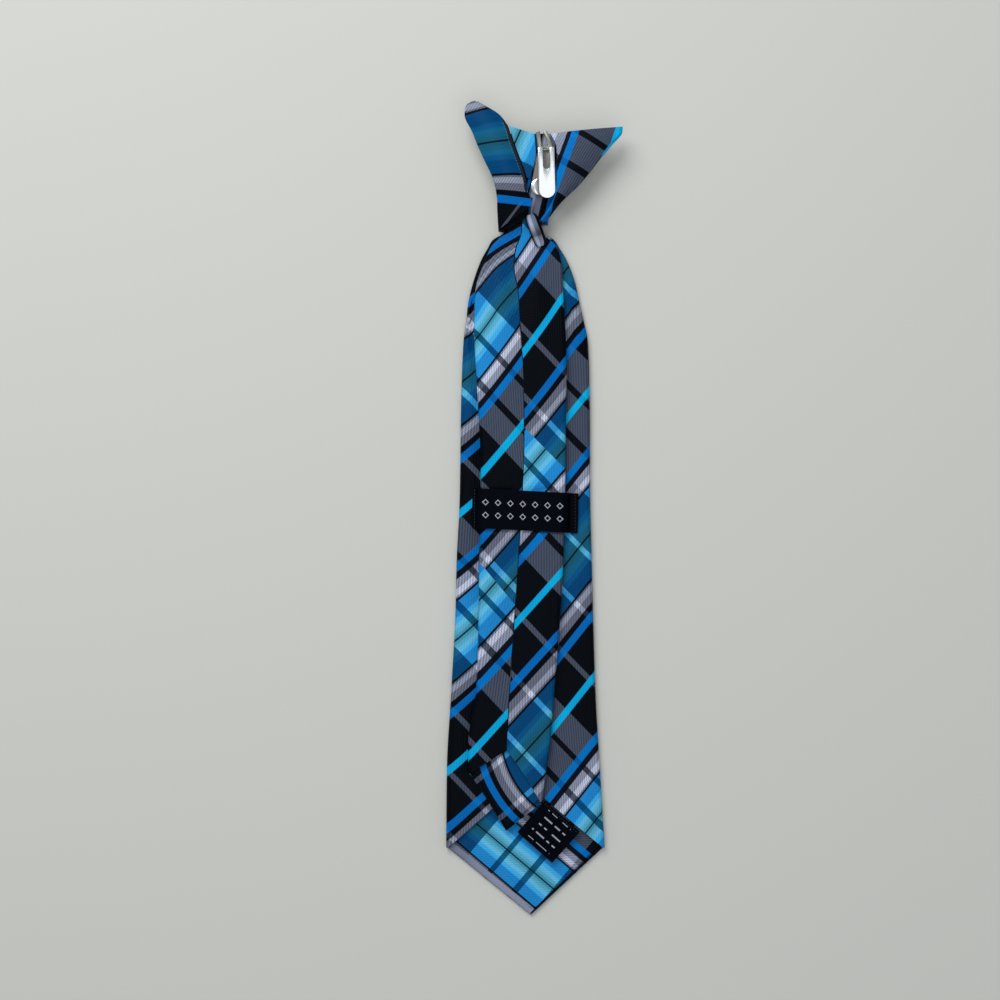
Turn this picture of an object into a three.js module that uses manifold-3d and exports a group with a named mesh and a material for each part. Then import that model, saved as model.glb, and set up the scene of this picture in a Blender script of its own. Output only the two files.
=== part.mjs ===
// A boys' clip-on necktie lying on its face, so that its back is up. Millimetres, +Z up.
// X runs across the tie, Y along it from the pointed tip to the knot, and Z away from the surface.
import * as THREE from 'three';
import { mergeVertices } from 'three/addons/utils/BufferGeometryUtils.js';
import Module from 'manifold-3d';

const wasm = await Module();
wasm.setup();

const { lerp, clamp, degToRad } = THREE.MathUtils;

// Gap kept between neighbouring pieces
const clearance = 0.3;

// Driving dimensions of the wide blade
const blade_width = 69.5;
const blade_length = 306.5;
const tip_drop = 29.7;
const tip_offset = 2.4;
const blade_wall = 1.2;
const blade_fold_gap = 1.6;
const blade_flap_gap = 1.0;

// Driving dimensions of the tail, the narrow blade that lies on the wide one
const tail_width = 40;
const tail_tip_height = 37.4;
const tail_wall = 1.0;
const tail_fold_gap = 1.6;
const tail_flap_gap = 0.5;
const tail_left_corner_rise = 25.2;
const tail_right_corner_rise = 12.0;
const tail_seam_rise = 35.5;

// Driving dimensions of the linings and the labels
const tipping_wall = 1.0;
const tipping_margin = 2.6;
const tipping_reach = 46;
const tail_tipping_margin = 2.0;
const tail_tipping_reach = 44;
const label_wall = 1.0;
const keeper_height = 17.4;
const keeper_place = 177.4;
const keeper_left_end = 3.4;
const keeper_right_end = 5.8;
const keeper_turn = -3;
const care_length = 20.3;
const care_width = 18.2;
const care_turn = -41.5;
const care_overhang = 1.6;

// Driving dimensions of the knot and its two wings
const neck_reach = 7;
const knot_width = 41.5;
const knot_height = 42;
const knot_depth = 11;
const knot_wall = 1.2;
const neck_clearance = 0.6;
const neck_fold_gap = 0.5;
const wing_wall = 1.0;
const wing_roll_gap = 0.5;
const wing_puff = 2.2;
const inner_fold_wall = 1.0;
const roll_width = 4.4;
const roll_thickness = 2.8;

// Driving dimensions of the metal clip
const clip_offset = 9.1;
const hinge_drop = 7.4;
const sheet_metal = 0.7;
const lever_width = 7.1;
const lever_length = 20.6;
const lever_turn = 1.5;
const slot_width = 3.1;
const slot_length = 8.2;
const pin_radius = 0.45;
const knuckle_radius = 1.15;
const plate_length = 15.6;
const plate_head_width = 6.4;
const plate_head_reach = 1.8;
const pad_radius = 3.8;
const pad_offset = -3.2;
const strap_width = 1.7;
const strap_spread = 2.55;
const strap_spread_at_top = 1.6;
const strap_lean = -1.7;
const hook_depth = 3.2;

// Both blades end inside the neck of the knot
const knot_base_height = blade_length - neck_reach;
const tail_length = blade_length - tail_tip_height;

// Sections of the wide blade. along is a share of the blade between its corners and its upper end,
// half and lean are shares of half its width, lift is the share of its rise into the knot, and
// pinch is the share of the way from its open fold to the pressed one at the neck.
const blade_sections = [
  { along: 0.000, half: 1.000, lean: 0.006, lift: 0, pinch: 0 },
  { along: 0.140, half: 0.960, lean: -0.021, lift: 0, pinch: 0 },
  { along: 0.234, half: 0.916, lean: -0.021, lift: 0, pinch: 0 },
  { along: 0.361, half: 0.871, lean: -0.009, lift: 0, pinch: 0 },
  { along: 0.456, half: 0.852, lean: -0.009, lift: 0, pinch: 0 },
  { along: 0.550, half: 0.824, lean: 0.000, lift: 0, pinch: 0 },
  { along: 0.708, half: 0.811, lean: 0.006, lift: 0, pinch: 0 },
  { along: 0.803, half: 0.783, lean: 0.009, lift: 0, pinch: 0 },
  { along: 0.834, half: 0.742, lean: 0.000, lift: 0, pinch: 0.1 },
  { along: 0.866, half: 0.698, lean: -0.013, lift: 0.05, pinch: 0.3 },
  { along: 0.898, half: 0.635, lean: -0.010, lift: 0.25, pinch: 0.6 },
  { along: 0.929, half: 0.541, lean: -0.013, lift: 0.6, pinch: 0.9 },
  { along: 0.948, half: 0.453, lean: -0.016, lift: 0.85, pinch: 1 },
  { along: 0.961, half: 0.385, lean: -0.020, lift: 1, pinch: 1 },
  { along: 0.971, half: 0.250, lean: -0.022, lift: 1, pinch: 1 },
  { along: 1.000, half: 0.245, lean: -0.022, lift: 1, pinch: 1 },
];

// Sections of the tail. along is a share of its length from its tip, and left, seam and right are
// shares of its width, measured from the middle of the tie.
const tail_sections = [
  { along: 0.045, left: -0.600, seam: -0.205, right: 0.187 },
  { along: 0.091, left: -0.617, seam: -0.202, right: 0.225 },
  { along: 0.139, left: -0.623, seam: -0.200, right: 0.273 },
  { along: 0.180, left: -0.595, seam: -0.186, right: 0.295 },
  { along: 0.229, left: -0.535, seam: -0.169, right: 0.323 },
  { along: 0.343, left: -0.508, seam: -0.117, right: 0.382 },
  { along: 0.440, left: -0.503, seam: -0.073, right: 0.420 },
  { along: 0.602, left: -0.486, seam: -0.015, right: 0.446 },
  { along: 0.676, left: -0.508, seam: -0.011, right: 0.448 },
  { along: 0.746, left: -0.535, seam: -0.019, right: 0.457 },
  { along: 0.817, left: -0.557, seam: -0.051, right: 0.442 },
  { along: 0.878, left: -0.541, seam: -0.076, right: 0.418 },
  { along: 0.901, left: -0.448, seam: -0.109, right: 0.411 },
  { along: 0.924, left: -0.350, seam: -0.120, right: 0.397 },
  { along: 0.947, left: -0.260, seam: -0.098, right: 0.350 },
  { along: 0.959, left: -0.225, seam: -0.066, right: 0.270 },
  { along: 0.971, left: -0.205, seam: -0.040, right: 0.170 },
  { along: 1.000, left: -0.200, seam: -0.030, right: 0.165 },
];

// Sections of the knot. along is a share of its height from the neck, left and right are shares
// of its width from the middle of the tie, and depth is a share of its depth.
const knot_sections = [
  { along: 0.000, left: -0.279, right: 0.242, depth: 0.85 },
  { along: 0.208, left: -0.292, right: 0.272, depth: 0.88 },
  { along: 0.333, left: -0.294, right: 0.340, depth: 0.92 },
  { along: 0.552, left: -0.332, right: 0.460, depth: 0.98 },
  { along: 0.729, left: -0.395, right: 0.500, depth: 1.00 },
  { along: 0.896, left: -0.453, right: 0.518, depth: 0.98 },
  { along: 1.000, left: -0.474, right: 0.526, depth: 0.92 },
];

// Sections of the wings, from the neck to the tip. Each runs from the open inner edge to the rolled
// outer edge. x is a share of the knot's width, y a share of its height above the neck, base the
// height of the underside as a share of the knot's depth, and puff a share of the wing's puff.
const left_wing_sections = [
  { inner_x: 0.070, inner_y: 0.250, outer_x: -0.279, outer_y: 0.010, base: 0.93, puff: 0.20 },
  { inner_x: 0.056, inner_y: 0.330, outer_x: -0.292, outer_y: 0.210, base: 0.96, puff: 0.40 },
  { inner_x: 0.020, inner_y: 0.400, outer_x: -0.297, outer_y: 0.360, base: 0.99, puff: 0.65 },
  { inner_x: 0.005, inner_y: 0.500, outer_x: -0.345, outer_y: 0.550, base: 1.03, puff: 0.90 },
  { inner_x: -0.037, inner_y: 0.640, outer_x: -0.430, outer_y: 0.730, base: 1.03, puff: 1.00 },
  { inner_x: -0.090, inner_y: 0.780, outer_x: -0.505, outer_y: 0.895, base: 1.03, puff: 1.00 },
  { inner_x: -0.142, inner_y: 0.920, outer_x: -0.560, outer_y: 1.030, base: 1.03, puff: 1.00 },
  { inner_x: -0.184, inner_y: 1.060, outer_x: -0.630, outer_y: 1.165, base: 1.00, puff: 1.00 },
  { inner_x: -0.270, inner_y: 1.180, outer_x: -0.625, outer_y: 1.270, base: 0.97, puff: 0.75 },
  { inner_x: -0.390, inner_y: 1.290, outer_x: -0.590, outer_y: 1.340, base: 0.94, puff: 0.30 },
];
const right_wing_sections = [
  { inner_x: 0.190, inner_y: 0.085, outer_x: 0.262, outer_y: 0.085, base: 0.91, puff: 0.10 },
  { inner_x: 0.245, inner_y: 0.210, outer_x: 0.322, outer_y: 0.225, base: 0.93, puff: 0.20 },
  { inner_x: 0.305, inner_y: 0.320, outer_x: 0.415, outer_y: 0.325, base: 0.97, puff: 0.35 },
  { inner_x: 0.330, inner_y: 0.440, outer_x: 0.550, outer_y: 0.450, base: 1.02, puff: 0.60 },
  { inner_x: 0.335, inner_y: 0.580, outer_x: 0.670, outer_y: 0.585, base: 1.03, puff: 0.80 },
  { inner_x: 0.335, inner_y: 0.730, outer_x: 0.790, outer_y: 0.740, base: 1.03, puff: 0.95 },
  { inner_x: 0.328, inner_y: 0.870, outer_x: 0.905, outer_y: 0.880, base: 1.02, puff: 1.00 },
  { inner_x: 0.290, inner_y: 0.955, outer_x: 0.998, outer_y: 0.985, base: 1.00, puff: 0.90 },
  { inner_x: 0.270, inner_y: 0.990, outer_x: 1.010, outer_y: 1.065, base: 0.98, puff: 0.60 },
];

// Sections of the turned-in cloth beside the left wing, from its lower end up, in the same shares.
const inner_fold_sections = [
  { left_x: 0.018, left_y: 0.540, right_x: 0.052, right_y: 0.540 },
  { left_x: -0.022, left_y: 0.660, right_x: 0.086, right_y: 0.660 },
  { left_x: -0.075, left_y: 0.800, right_x: 0.110, right_y: 0.780 },
  { left_x: -0.122, left_y: 0.925, right_x: 0.106, right_y: 0.890 },
  { left_x: -0.165, left_y: 1.075, right_x: 0.095, right_y: 0.995 },
];

// The small roll of cloth at the neck: x and y in the same shares, and size a share of its girth.
const neck_roll_sections = [
  { x: 0.056, y: 0.160, size: 0.50 },
  { x: 0.070, y: 0.120, size: 0.90 },
  { x: 0.098, y: 0.040, size: 1.00 },
  { x: 0.132, y: -0.045, size: 1.00 },
  { x: 0.160, y: -0.120, size: 0.85 },
  { x: 0.170, y: -0.155, size: 0.45 },
];

// One column of a table at a place along it, on a smooth curve through its rows
function column(table, name, place) {
  const last = table.length - 1;
  let row = 0;
  while (row < last - 1 && place > table[row + 1].along) row += 1;
  const before = table[Math.max(row - 1, 0)];
  const here = table[row];
  const next = table[row + 1];
  const after = table[Math.min(row + 2, last)];
  const span = next.along - here.along;
  const t = clamp((place - here.along) / span, 0, 1);
  const leave = (next[name] - before[name]) / (next.along - before.along) * span;
  const arrive = (after[name] - here[name]) / (after.along - here.along) * span;
  const t2 = t * t;
  const t3 = t2 * t;
  return (2 * t3 - 3 * t2 + 1) * here[name] + (t3 - 2 * t2 + t) * leave
    + (3 * t2 - 2 * t3) * next[name] + (t3 - t2) * arrive;
}

// The rows of a table with more rows put between them on straight lines
function refine(table, steps) {
  const rows = [];
  for (let index = 0; index < table.length - 1; index += 1) {
    for (let step = 0; step < steps; step += 1) {
      const row = {};
      for (const name of Object.keys(table[index])) {
        row[name] = lerp(table[index][name], table[index + 1][name], step / steps);
      }
      rows.push(row);
    }
  }
  rows.push(table[table.length - 1]);
  return rows;
}

function indexedGeometry(positions, triangles) {
  const geometry = new THREE.BufferGeometry();
  geometry.setAttribute('position', new THREE.Float32BufferAttribute(positions, 3));
  geometry.setIndex(triangles);
  return geometry;
}

// Cloth with an even wall around a grid of points on its middle surface. A ring's last column
// is joined to its first.
function clothShell(grid, wall, ring = false) {
  const rows = grid.length;
  const columns = grid[0].length;
  const pick = (row, col) => {
    const near = ring ? (col + columns) % columns : clamp(col, 0, columns - 1);
    return grid[clamp(row, 0, rows - 1)][near];
  };
  const positions = [];
  for (const side of [0.5, -0.5]) {
    for (let row = 0; row < rows; row += 1) {
      for (let col = 0; col < columns; col += 1) {
        const across = pick(row, col + 1).clone().sub(pick(row, col - 1));
        const along = pick(row + 1, col).clone().sub(pick(row - 1, col));
        const normal = across.cross(along).normalize();
        positions.push(...grid[row][col].clone().addScaledVector(normal, side * wall));
      }
    }
  }
  const triangles = [];
  const quad = (a, b, c, d) => triangles.push(a, b, c, a, c, d);
  const upper = (row, col) => row * columns + (col % columns);
  const lower = (row, col) => rows * columns + upper(row, col);
  const spans = ring ? columns : columns - 1;
  for (let row = 0; row < rows - 1; row += 1) {
    for (let col = 0; col < spans; col += 1) {
      quad(upper(row, col), upper(row, col + 1), upper(row + 1, col + 1), upper(row + 1, col));
      quad(lower(row, col), lower(row + 1, col), lower(row + 1, col + 1), lower(row, col + 1));
    }
    if (!ring) {
      quad(upper(row, 0), upper(row + 1, 0), lower(row + 1, 0), lower(row, 0));
      quad(upper(row, spans), lower(row, spans), lower(row + 1, spans), upper(row + 1, spans));
    }
  }
  const end = rows - 1;
  for (let col = 0; col < spans; col += 1) {
    quad(upper(0, col), lower(0, col), lower(0, col + 1), upper(0, col + 1));
    quad(upper(end, col), upper(end, col + 1), lower(end, col + 1), lower(end, col));
  }
  return indexedGeometry(positions, triangles);
}

// A solid through closed rings of points, with a flat fan at each end
function loft(rings) {
  const sides = rings[0].length;
  const positions = [];
  for (const ring of rings) {
    for (const point of ring) positions.push(...point);
  }
  const centres = [rings[0], rings[rings.length - 1]].map((ring) => {
    const centre = ring.reduce((sum, point) => sum.add(point), new THREE.Vector3());
    positions.push(...centre.divideScalar(sides));
    return positions.length / 3 - 1;
  });
  const triangles = [];
  const at = (ring, side) => ring * sides + (side % sides);
  for (let ring = 0; ring < rings.length - 1; ring += 1) {
    for (let side = 0; side < sides; side += 1) {
      triangles.push(at(ring, side), at(ring, side + 1), at(ring + 1, side + 1));
      triangles.push(at(ring, side), at(ring + 1, side + 1), at(ring + 1, side));
    }
  }
  for (let side = 0; side < sides; side += 1) {
    triangles.push(centres[0], at(0, side + 1), at(0, side));
    triangles.push(centres[1], at(rings.length - 1, side), at(rings.length - 1, side + 1));
  }
  return indexedGeometry(positions, triangles);
}

// A cloth folded to the back on both sides, as points on its middle line. reach is 0 at the point
// of the front, 1 at a rolled edge and 2 where the flap is back at the seam.
function foldedSection({ left, right, seam, point, low, rise }, shape) {
  const { wall, flap_gap, front_steps, roll_steps, flap_steps } = shape;
  const radius = rise / 2;
  const line = [];
  const frontReach = (x, edge) => Math.abs(x - point) / Math.abs(edge - point);
  const flapReach = (x, edge) => 2 - Math.abs(x - seam) / Math.abs(edge - seam);
  const sides = [
    { edge: left + wall / 2, sign: -1 },
    { edge: right - wall / 2, sign: 1 },
  ];
  const [left_side, right_side] = sides.map(({ edge, sign }) => {
    const centre = edge - sign * radius;
    const flap = [];
    for (let step = 0; step < flap_steps; step += 1) {
      const x = lerp(seam + sign * flap_gap / 2, centre, step / flap_steps);
      flap.push({ x, z: low + rise, reach: flapReach(x, edge), sign });
    }
    for (let step = 0; step < roll_steps; step += 1) {
      const angle = Math.PI * (0.5 - step / roll_steps);
      const x = centre + sign * radius * Math.cos(angle);
      const z = low + radius + radius * Math.sin(angle);
      const reach = angle > 0 ? flapReach(x, edge) : frontReach(x, edge);
      flap.push({ x, z, reach, sign });
    }
    return { flap, edge, centre };
  });
  line.push(...left_side.flap);
  for (let step = 0; step <= front_steps; step += 1) {
    const share = 2 * step / front_steps - 1;
    const side = share < 0 ? left_side : right_side;
    const x = lerp(point, side.centre, Math.abs(share));
    line.push({ x, z: low, reach: frontReach(x, side.edge), sign: Math.sign(share) });
  }
  line.push(...right_side.flap.reverse());
  return line;
}

// Grid of a folded cloth whose lower edge is cut to a point. Every column starts on that edge.
function pointedGrid({ table, sectionAt, foot_height, footOf, top, shape }) {
  const feet = foldedSection(sectionAt(foot_height), shape).map(footOf);
  return refine(table, 2).map(({ along }, row, rows) => {
    const share = (along - rows[0].along) / (1 - rows[0].along);
    return feet.map((foot, col) => {
      const y = lerp(foot, top, share);
      const { x, z } = foldedSection(sectionAt(y), shape)[col];
      return new THREE.Vector3(x, y, z);
    });
  });
}

// Share of the way from the open folds to the pressed ones at the neck, at a height y
function bladePlace(y) {
  return (y - tip_drop) / (blade_length - tip_drop);
}

function pinchAt(y) {
  return clamp(column(blade_sections, 'pinch', bladePlace(y)), 0, 1);
}

// Section of the wide blade at a height y
function bladeAt(y) {
  const place = bladePlace(y);
  const half = blade_width / 2 * column(blade_sections, 'half', place);
  const seam = blade_width / 2 * column(blade_sections, 'lean', place);
  const lift = clamp(column(blade_sections, 'lift', place), 0, 1);
  const gap = lerp(blade_fold_gap, neck_fold_gap, pinchAt(y));
  return {
    left: seam - half,
    right: seam + half,
    seam,
    point: seam + tip_offset * 2 * half / blade_width,
    low: (knot_wall + neck_clearance) * lift + blade_wall / 2,
    rise: gap + blade_wall,
  };
}

function bladeTop(y) {
  const { low, rise } = bladeAt(y);
  return low + rise + blade_wall / 2;
}

function bladeGeometry() {
  const shape = {
    wall: blade_wall, flap_gap: blade_flap_gap, front_steps: 6, roll_steps: 4, flap_steps: 3,
  };
  const grid = pointedGrid({
    table: blade_sections,
    sectionAt: bladeAt,
    foot_height: tip_drop,
    footOf: ({ reach }) => tip_drop * reach,
    top: blade_length,
    shape,
  });
  return clothShell(grid, blade_wall);
}

// Section of the tail at a height y: it lies on the flaps of the wide blade
function tailAt(y) {
  const place = (y - tail_tip_height) / tail_length;
  const seam = tail_width * column(tail_sections, 'seam', place);
  return {
    left: tail_width * column(tail_sections, 'left', place),
    right: tail_width * column(tail_sections, 'right', place),
    seam,
    point: seam,
    low: bladeTop(y) + clearance + tail_wall / 2,
    rise: lerp(tail_fold_gap, neck_fold_gap, pinchAt(y)) + tail_wall,
  };
}

function tailTop(y) {
  const { low, rise } = tailAt(y);
  return low + rise + tail_wall / 2;
}

// Height of the tail's lower edge: its front has a point and two corners, and its flaps run from
// the corners back up to the seam
function tailFoot({ reach, sign }) {
  const corner = sign < 0 ? tail_left_corner_rise : tail_right_corner_rise;
  if (reach <= 1) return tail_tip_height + corner * reach;
  return tail_tip_height + lerp(corner, tail_seam_rise, reach - 1);
}

function tailGeometry() {
  const shape = {
    wall: tail_wall, flap_gap: tail_flap_gap, front_steps: 4, roll_steps: 4, flap_steps: 3,
  };
  const grid = pointedGrid({
    table: tail_sections,
    sectionAt: tailAt,
    foot_height: tail_tip_height + tail_right_corner_rise,
    footOf: tailFoot,
    top: blade_length,
    shape,
  });
  return clothShell(grid, tail_wall);
}

// A lining inside the fold of a pointed blade, set back from the blade's cut edge by a margin
function tippingGeometry({ sectionAt, wall, margin, tip, corners, reach }) {
  const steps = 8;
  const grid = [];
  for (let row = 0; row <= steps; row += 1) {
    const points = [];
    for (let col = 0; col <= steps; col += 1) {
      const across = 2 * col / steps - 1;
      const corner = across < 0 ? corners.left : corners.right;
      const foot = tip + margin + corner * Math.abs(across);
      const y = lerp(foot, tip + reach, row / steps);
      const { left, right, point, low, rise } = sectionAt(y);
      const inset = wall / 2 + rise / 2 + clearance;
      const edge = across < 0 ? left + inset : right - inset;
      const height = low + wall / 2 + clearance + tipping_wall / 2;
      points.push(new THREE.Vector3(lerp(point, edge, Math.abs(across)), y, height));
    }
    grid.push(points);
  }
  return clothShell(grid, tipping_wall);
}

function bladeTippingGeometry() {
  return tippingGeometry({
    sectionAt: bladeAt,
    wall: blade_wall,
    margin: tipping_margin,
    tip: 0,
    corners: { left: tip_drop, right: tip_drop },
    reach: tip_drop + tipping_reach,
  });
}

function tailTippingGeometry() {
  return tippingGeometry({
    sectionAt: tailAt,
    wall: tail_wall,
    margin: tail_tipping_margin,
    tip: tail_tip_height,
    corners: { left: tail_left_corner_rise, right: tail_right_corner_rise },
    reach: tail_tipping_reach,
  });
}

// The keeper label: a strap that lies on the flaps at its ends and hugs the tail between them
function keeperGeometry() {
  const rows = 4;
  const turns = 4;
  const grid = [];
  for (let row = 0; row <= rows; row += 1) {
    const level = keeper_place + keeper_height * (row / rows - 0.5);
    const { left, right, low, rise } = tailAt(level);
    const radius = rise / 2 + tail_wall / 2;
    const reach = radius + clearance + label_wall / 2;
    const roll_height = low + rise / 2;
    const foot_height = bladeTop(level) + clearance + label_wall / 2;
    const half = [];
    for (let turn = 0; turn <= turns; turn += 1) {
      const angle = degToRad(lerp(165, 90, turn / turns));
      half.push({ x: reach * Math.cos(angle), z: roll_height + reach * Math.sin(angle) });
    }
    const foot = half[0].x - (half[0].z - foot_height) / 3;
    const line = [
      { x: left - keeper_left_end, z: foot_height },
      { x: left + radius + foot, z: foot_height },
      ...half.map(({ x, z }) => ({ x: left + radius + x, z })),
      ...half.map(({ x, z }) => ({ x: right - radius - x, z })).reverse(),
      { x: right - radius - foot, z: foot_height },
      { x: right + keeper_right_end, z: foot_height },
    ];
    const slope = Math.tan(degToRad(keeper_turn));
    grid.push(line.map(({ x, z }) => new THREE.Vector3(x, level + slope * x, z)));
  }
  return clothShell(grid, label_wall);
}

// The knot: a wound sleeve, open at the neck and at its top
function knotAt(y) {
  const place = (y - knot_base_height) / knot_height;
  return {
    left: knot_width * column(knot_sections, 'left', place),
    right: knot_width * column(knot_sections, 'right', place),
    depth: knot_depth * column(knot_sections, 'depth', place),
  };
}

function knotGeometry() {
  const sides = 32;
  const squareness = 4;
  const grid = refine(knot_sections, 2).map(({ along }) => {
    const y = knot_base_height + knot_height * along;
    const { left, right, depth } = knotAt(y);
    const across = (right - left - knot_wall) / 2;
    const up = (depth - knot_wall) / 2;
    const ring = [];
    for (let side = 0; side < sides; side += 1) {
      const angle = -2 * Math.PI * (side + 0.5) / sides;
      const cos = Math.cos(angle);
      const sin = Math.sin(angle);
      const x = Math.sign(cos) * Math.abs(cos) ** (2 / squareness);
      const z = Math.sign(sin) * Math.abs(sin) ** (2 / squareness);
      ring.push(new THREE.Vector3((left + right) / 2 + across * x, y, depth / 2 + up * z));
    }
    return ring;
  });
  return clothShell(grid, knot_wall, true);
}

// A point given in shares of the knot's width and height
function knotPoint(x, y, z = 0) {
  return new THREE.Vector3(knot_width * x, knot_base_height + knot_height * y, z);
}

// A wing: cloth folded over at its outer edge, open at its inner edge, and puffed between them
function wingGeometry(table) {
  const layer_steps = 4;
  const roll_steps = 4;
  const radius = (wing_roll_gap + wing_wall) / 2;
  const grid = refine(table, 2).map((row) => {
    const inner = knotPoint(row.inner_x, row.inner_y);
    const outer = knotPoint(row.outer_x, row.outer_y);
    const across = outer.clone().sub(inner).normalize();
    const low = knot_depth * row.base + wing_wall / 2;
    const roll = outer.clone().addScaledVector(across, -(radius + wing_wall / 2));
    const points = [];
    for (let step = 0; step < layer_steps; step += 1) {
      points.push(inner.clone().lerp(roll, step / layer_steps).setZ(low));
    }
    for (let step = 0; step <= roll_steps; step += 1) {
      const angle = Math.PI * (step / roll_steps - 0.5);
      const point = roll.clone().addScaledVector(across, radius * Math.cos(angle));
      points.push(point.setZ(low + radius + radius * Math.sin(angle)));
    }
    for (let step = layer_steps - 1; step >= 0; step -= 1) {
      const share = step / layer_steps;
      const bulge = wing_puff * row.puff * Math.sin(Math.PI * share);
      points.push(inner.clone().lerp(roll, share).setZ(low + 2 * radius + bulge));
    }
    return points;
  });
  return clothShell(grid, wing_wall);
}

// The turned-in cloth between the left wing and the clip, lying on the back of the knot
function innerFoldGeometry() {
  const steps = 3;
  const grid = refine(inner_fold_sections, 2).map((row) => {
    const left = knotPoint(row.left_x, row.left_y);
    const right = knotPoint(row.right_x, row.right_y);
    const height = knot_depth + clearance + inner_fold_wall / 2;
    const points = [];
    for (let step = 0; step <= steps; step += 1) {
      points.push(left.clone().lerp(right, step / steps).setZ(height));
    }
    return points;
  });
  return clothShell(grid, inner_fold_wall);
}

// The small roll of cloth that comes out of the neck, over the knot's lower edge and the tail
function neckRollGeometry() {
  const sides = 10;
  const rows = refine(neck_roll_sections, 2);
  const drop_length = 5;
  const centres = rows.map(({ x, y, size }) => {
    const centre = knotPoint(x, y);
    const past = clamp((knot_base_height - clearance - centre.y) / drop_length, 0, 1);
    const under = lerp(knotAt(centre.y).depth, tailTop(centre.y), past) + clearance;
    return centre.setZ(under + size * roll_thickness / 2);
  });
  const up = new THREE.Vector3(0, 0, 1);
  const rings = centres.map((centre, index) => {
    const before = centres[Math.max(index - 1, 0)];
    const after = centres[Math.min(index + 1, centres.length - 1)];
    const along = after.clone().sub(before).setZ(0).normalize();
    const across = up.clone().cross(along);
    const ring = [];
    for (let side = 0; side < sides; side += 1) {
      const angle = 2 * Math.PI * side / sides;
      const point = centre.clone();
      point.addScaledVector(across, rows[index].size * roll_width / 2 * Math.cos(angle));
      point.addScaledVector(up, rows[index].size * roll_thickness / 2 * Math.sin(angle));
      ring.push(point);
    }
    return ring;
  });
  return loft(rings);
}

// Joins and cuts of closed pieces
function solid(geometry) {
  const plain = geometry.clone();
  plain.deleteAttribute('normal');
  plain.deleteAttribute('uv');
  const merged = mergeVertices(plain);
  const vertProperties = new Float32Array(merged.attributes.position.array);
  const triVerts = new Uint32Array(merged.index.array);
  return new wasm.Manifold(new wasm.Mesh({ numProp: 3, vertProperties, triVerts }));
}

function fromSolid(manifold) {
  const { vertProperties, triVerts } = manifold.getMesh();
  return indexedGeometry(Array.from(vertProperties), Array.from(triVerts));
}

function joined(geometries, cuts = []) {
  const body = geometries.map(solid).reduce((sum, next) => sum.add(next));
  return fromSolid(cuts.map(solid).reduce((rest, cut) => rest.subtract(cut), body));
}

function plate(shape, thickness, curve_steps = 12) {
  const options = { depth: thickness, bevelEnabled: false, curveSegments: curve_steps };
  return new THREE.ExtrudeGeometry(shape, options);
}

function rodAlongX(radius, length, sides) {
  return new THREE.CylinderGeometry(radius, radius, length, sides).rotateZ(Math.PI / 2);
}

// Height of the hinge above the top of the clip's plate, and of the lever above the hinge
const hinge_height = knuckle_radius + clearance;
const lever_rise = knuckle_radius + clearance;
const lever_tilt = Math.asin((hinge_height + lever_rise - clearance) / lever_length);
const pin_hole = rodAlongX(pin_radius + clearance, 2 * lever_width, 12);

// A lug that stands in the plane across X and carries the hinge: a disc with a foot or a neck
function hingeLug(offset, foot) {
  const shape = new THREE.Shape();
  shape.absarc(0, 0, knuckle_radius, 0, Math.PI, foot > 0);
  shape.lineTo(-knuckle_radius, foot);
  shape.lineTo(knuckle_radius, foot);
  const lug = plate(shape, sheet_metal, 6);
  lug.applyMatrix4(new THREE.Matrix4().set(0, 0, 1, 0, 1, 0, 0, 0, 0, 1, 0, 0, 0, 0, 0, 1));
  return lug.translate(offset - sheet_metal / 2, 0, 0);
}

// The clip's plate: a head with two ears at the hinge, a round pad, and two straps that hook over
// the top edge of the knot. Its top is at height 0 and the hinge is over its origin.
function clipPlateGeometry() {
  const outline = new THREE.Shape();
  outline.moveTo(plate_head_width / 2, plate_head_reach);
  outline.lineTo(-plate_head_width / 2, plate_head_reach);
  outline.lineTo(-plate_head_width / 2, 0);
  outline.absarc(pad_offset, -plate_length, pad_radius, Math.PI, 2 * Math.PI, false);
  outline.lineTo(plate_head_width / 2, -plate_head_reach);
  const pieces = [plate(outline, sheet_metal).translate(0, 0, -sheet_metal)];

  const edge = hinge_drop + clearance;
  for (const side of [-1, 1]) {
    const foot = side * strap_spread;
    const head = strap_lean + side * strap_spread_at_top;
    const strap = new THREE.Shape([
      new THREE.Vector2(foot - strap_width / 2, 0),
      new THREE.Vector2(foot + strap_width / 2, 0),
      new THREE.Vector2(head + strap_width / 2, edge + sheet_metal),
      new THREE.Vector2(head - strap_width / 2, edge + sheet_metal),
    ]);
    pieces.push(plate(strap, sheet_metal).translate(0, 0, -sheet_metal));
    const hook = new THREE.BoxGeometry(strap_width, sheet_metal, hook_depth);
    pieces.push(hook.translate(head, edge + sheet_metal / 2, -hook_depth / 2));
  }
  const ear = lever_width / 2 - sheet_metal - clearance - sheet_metal / 2;
  for (const side of [-1, 1]) {
    pieces.push(hingeLug(side * ear, -hinge_height - sheet_metal / 2).translate(0, 0, hinge_height));
  }
  return joined(pieces, [pin_hole.clone().translate(0, 0, hinge_height)]);
}

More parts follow.
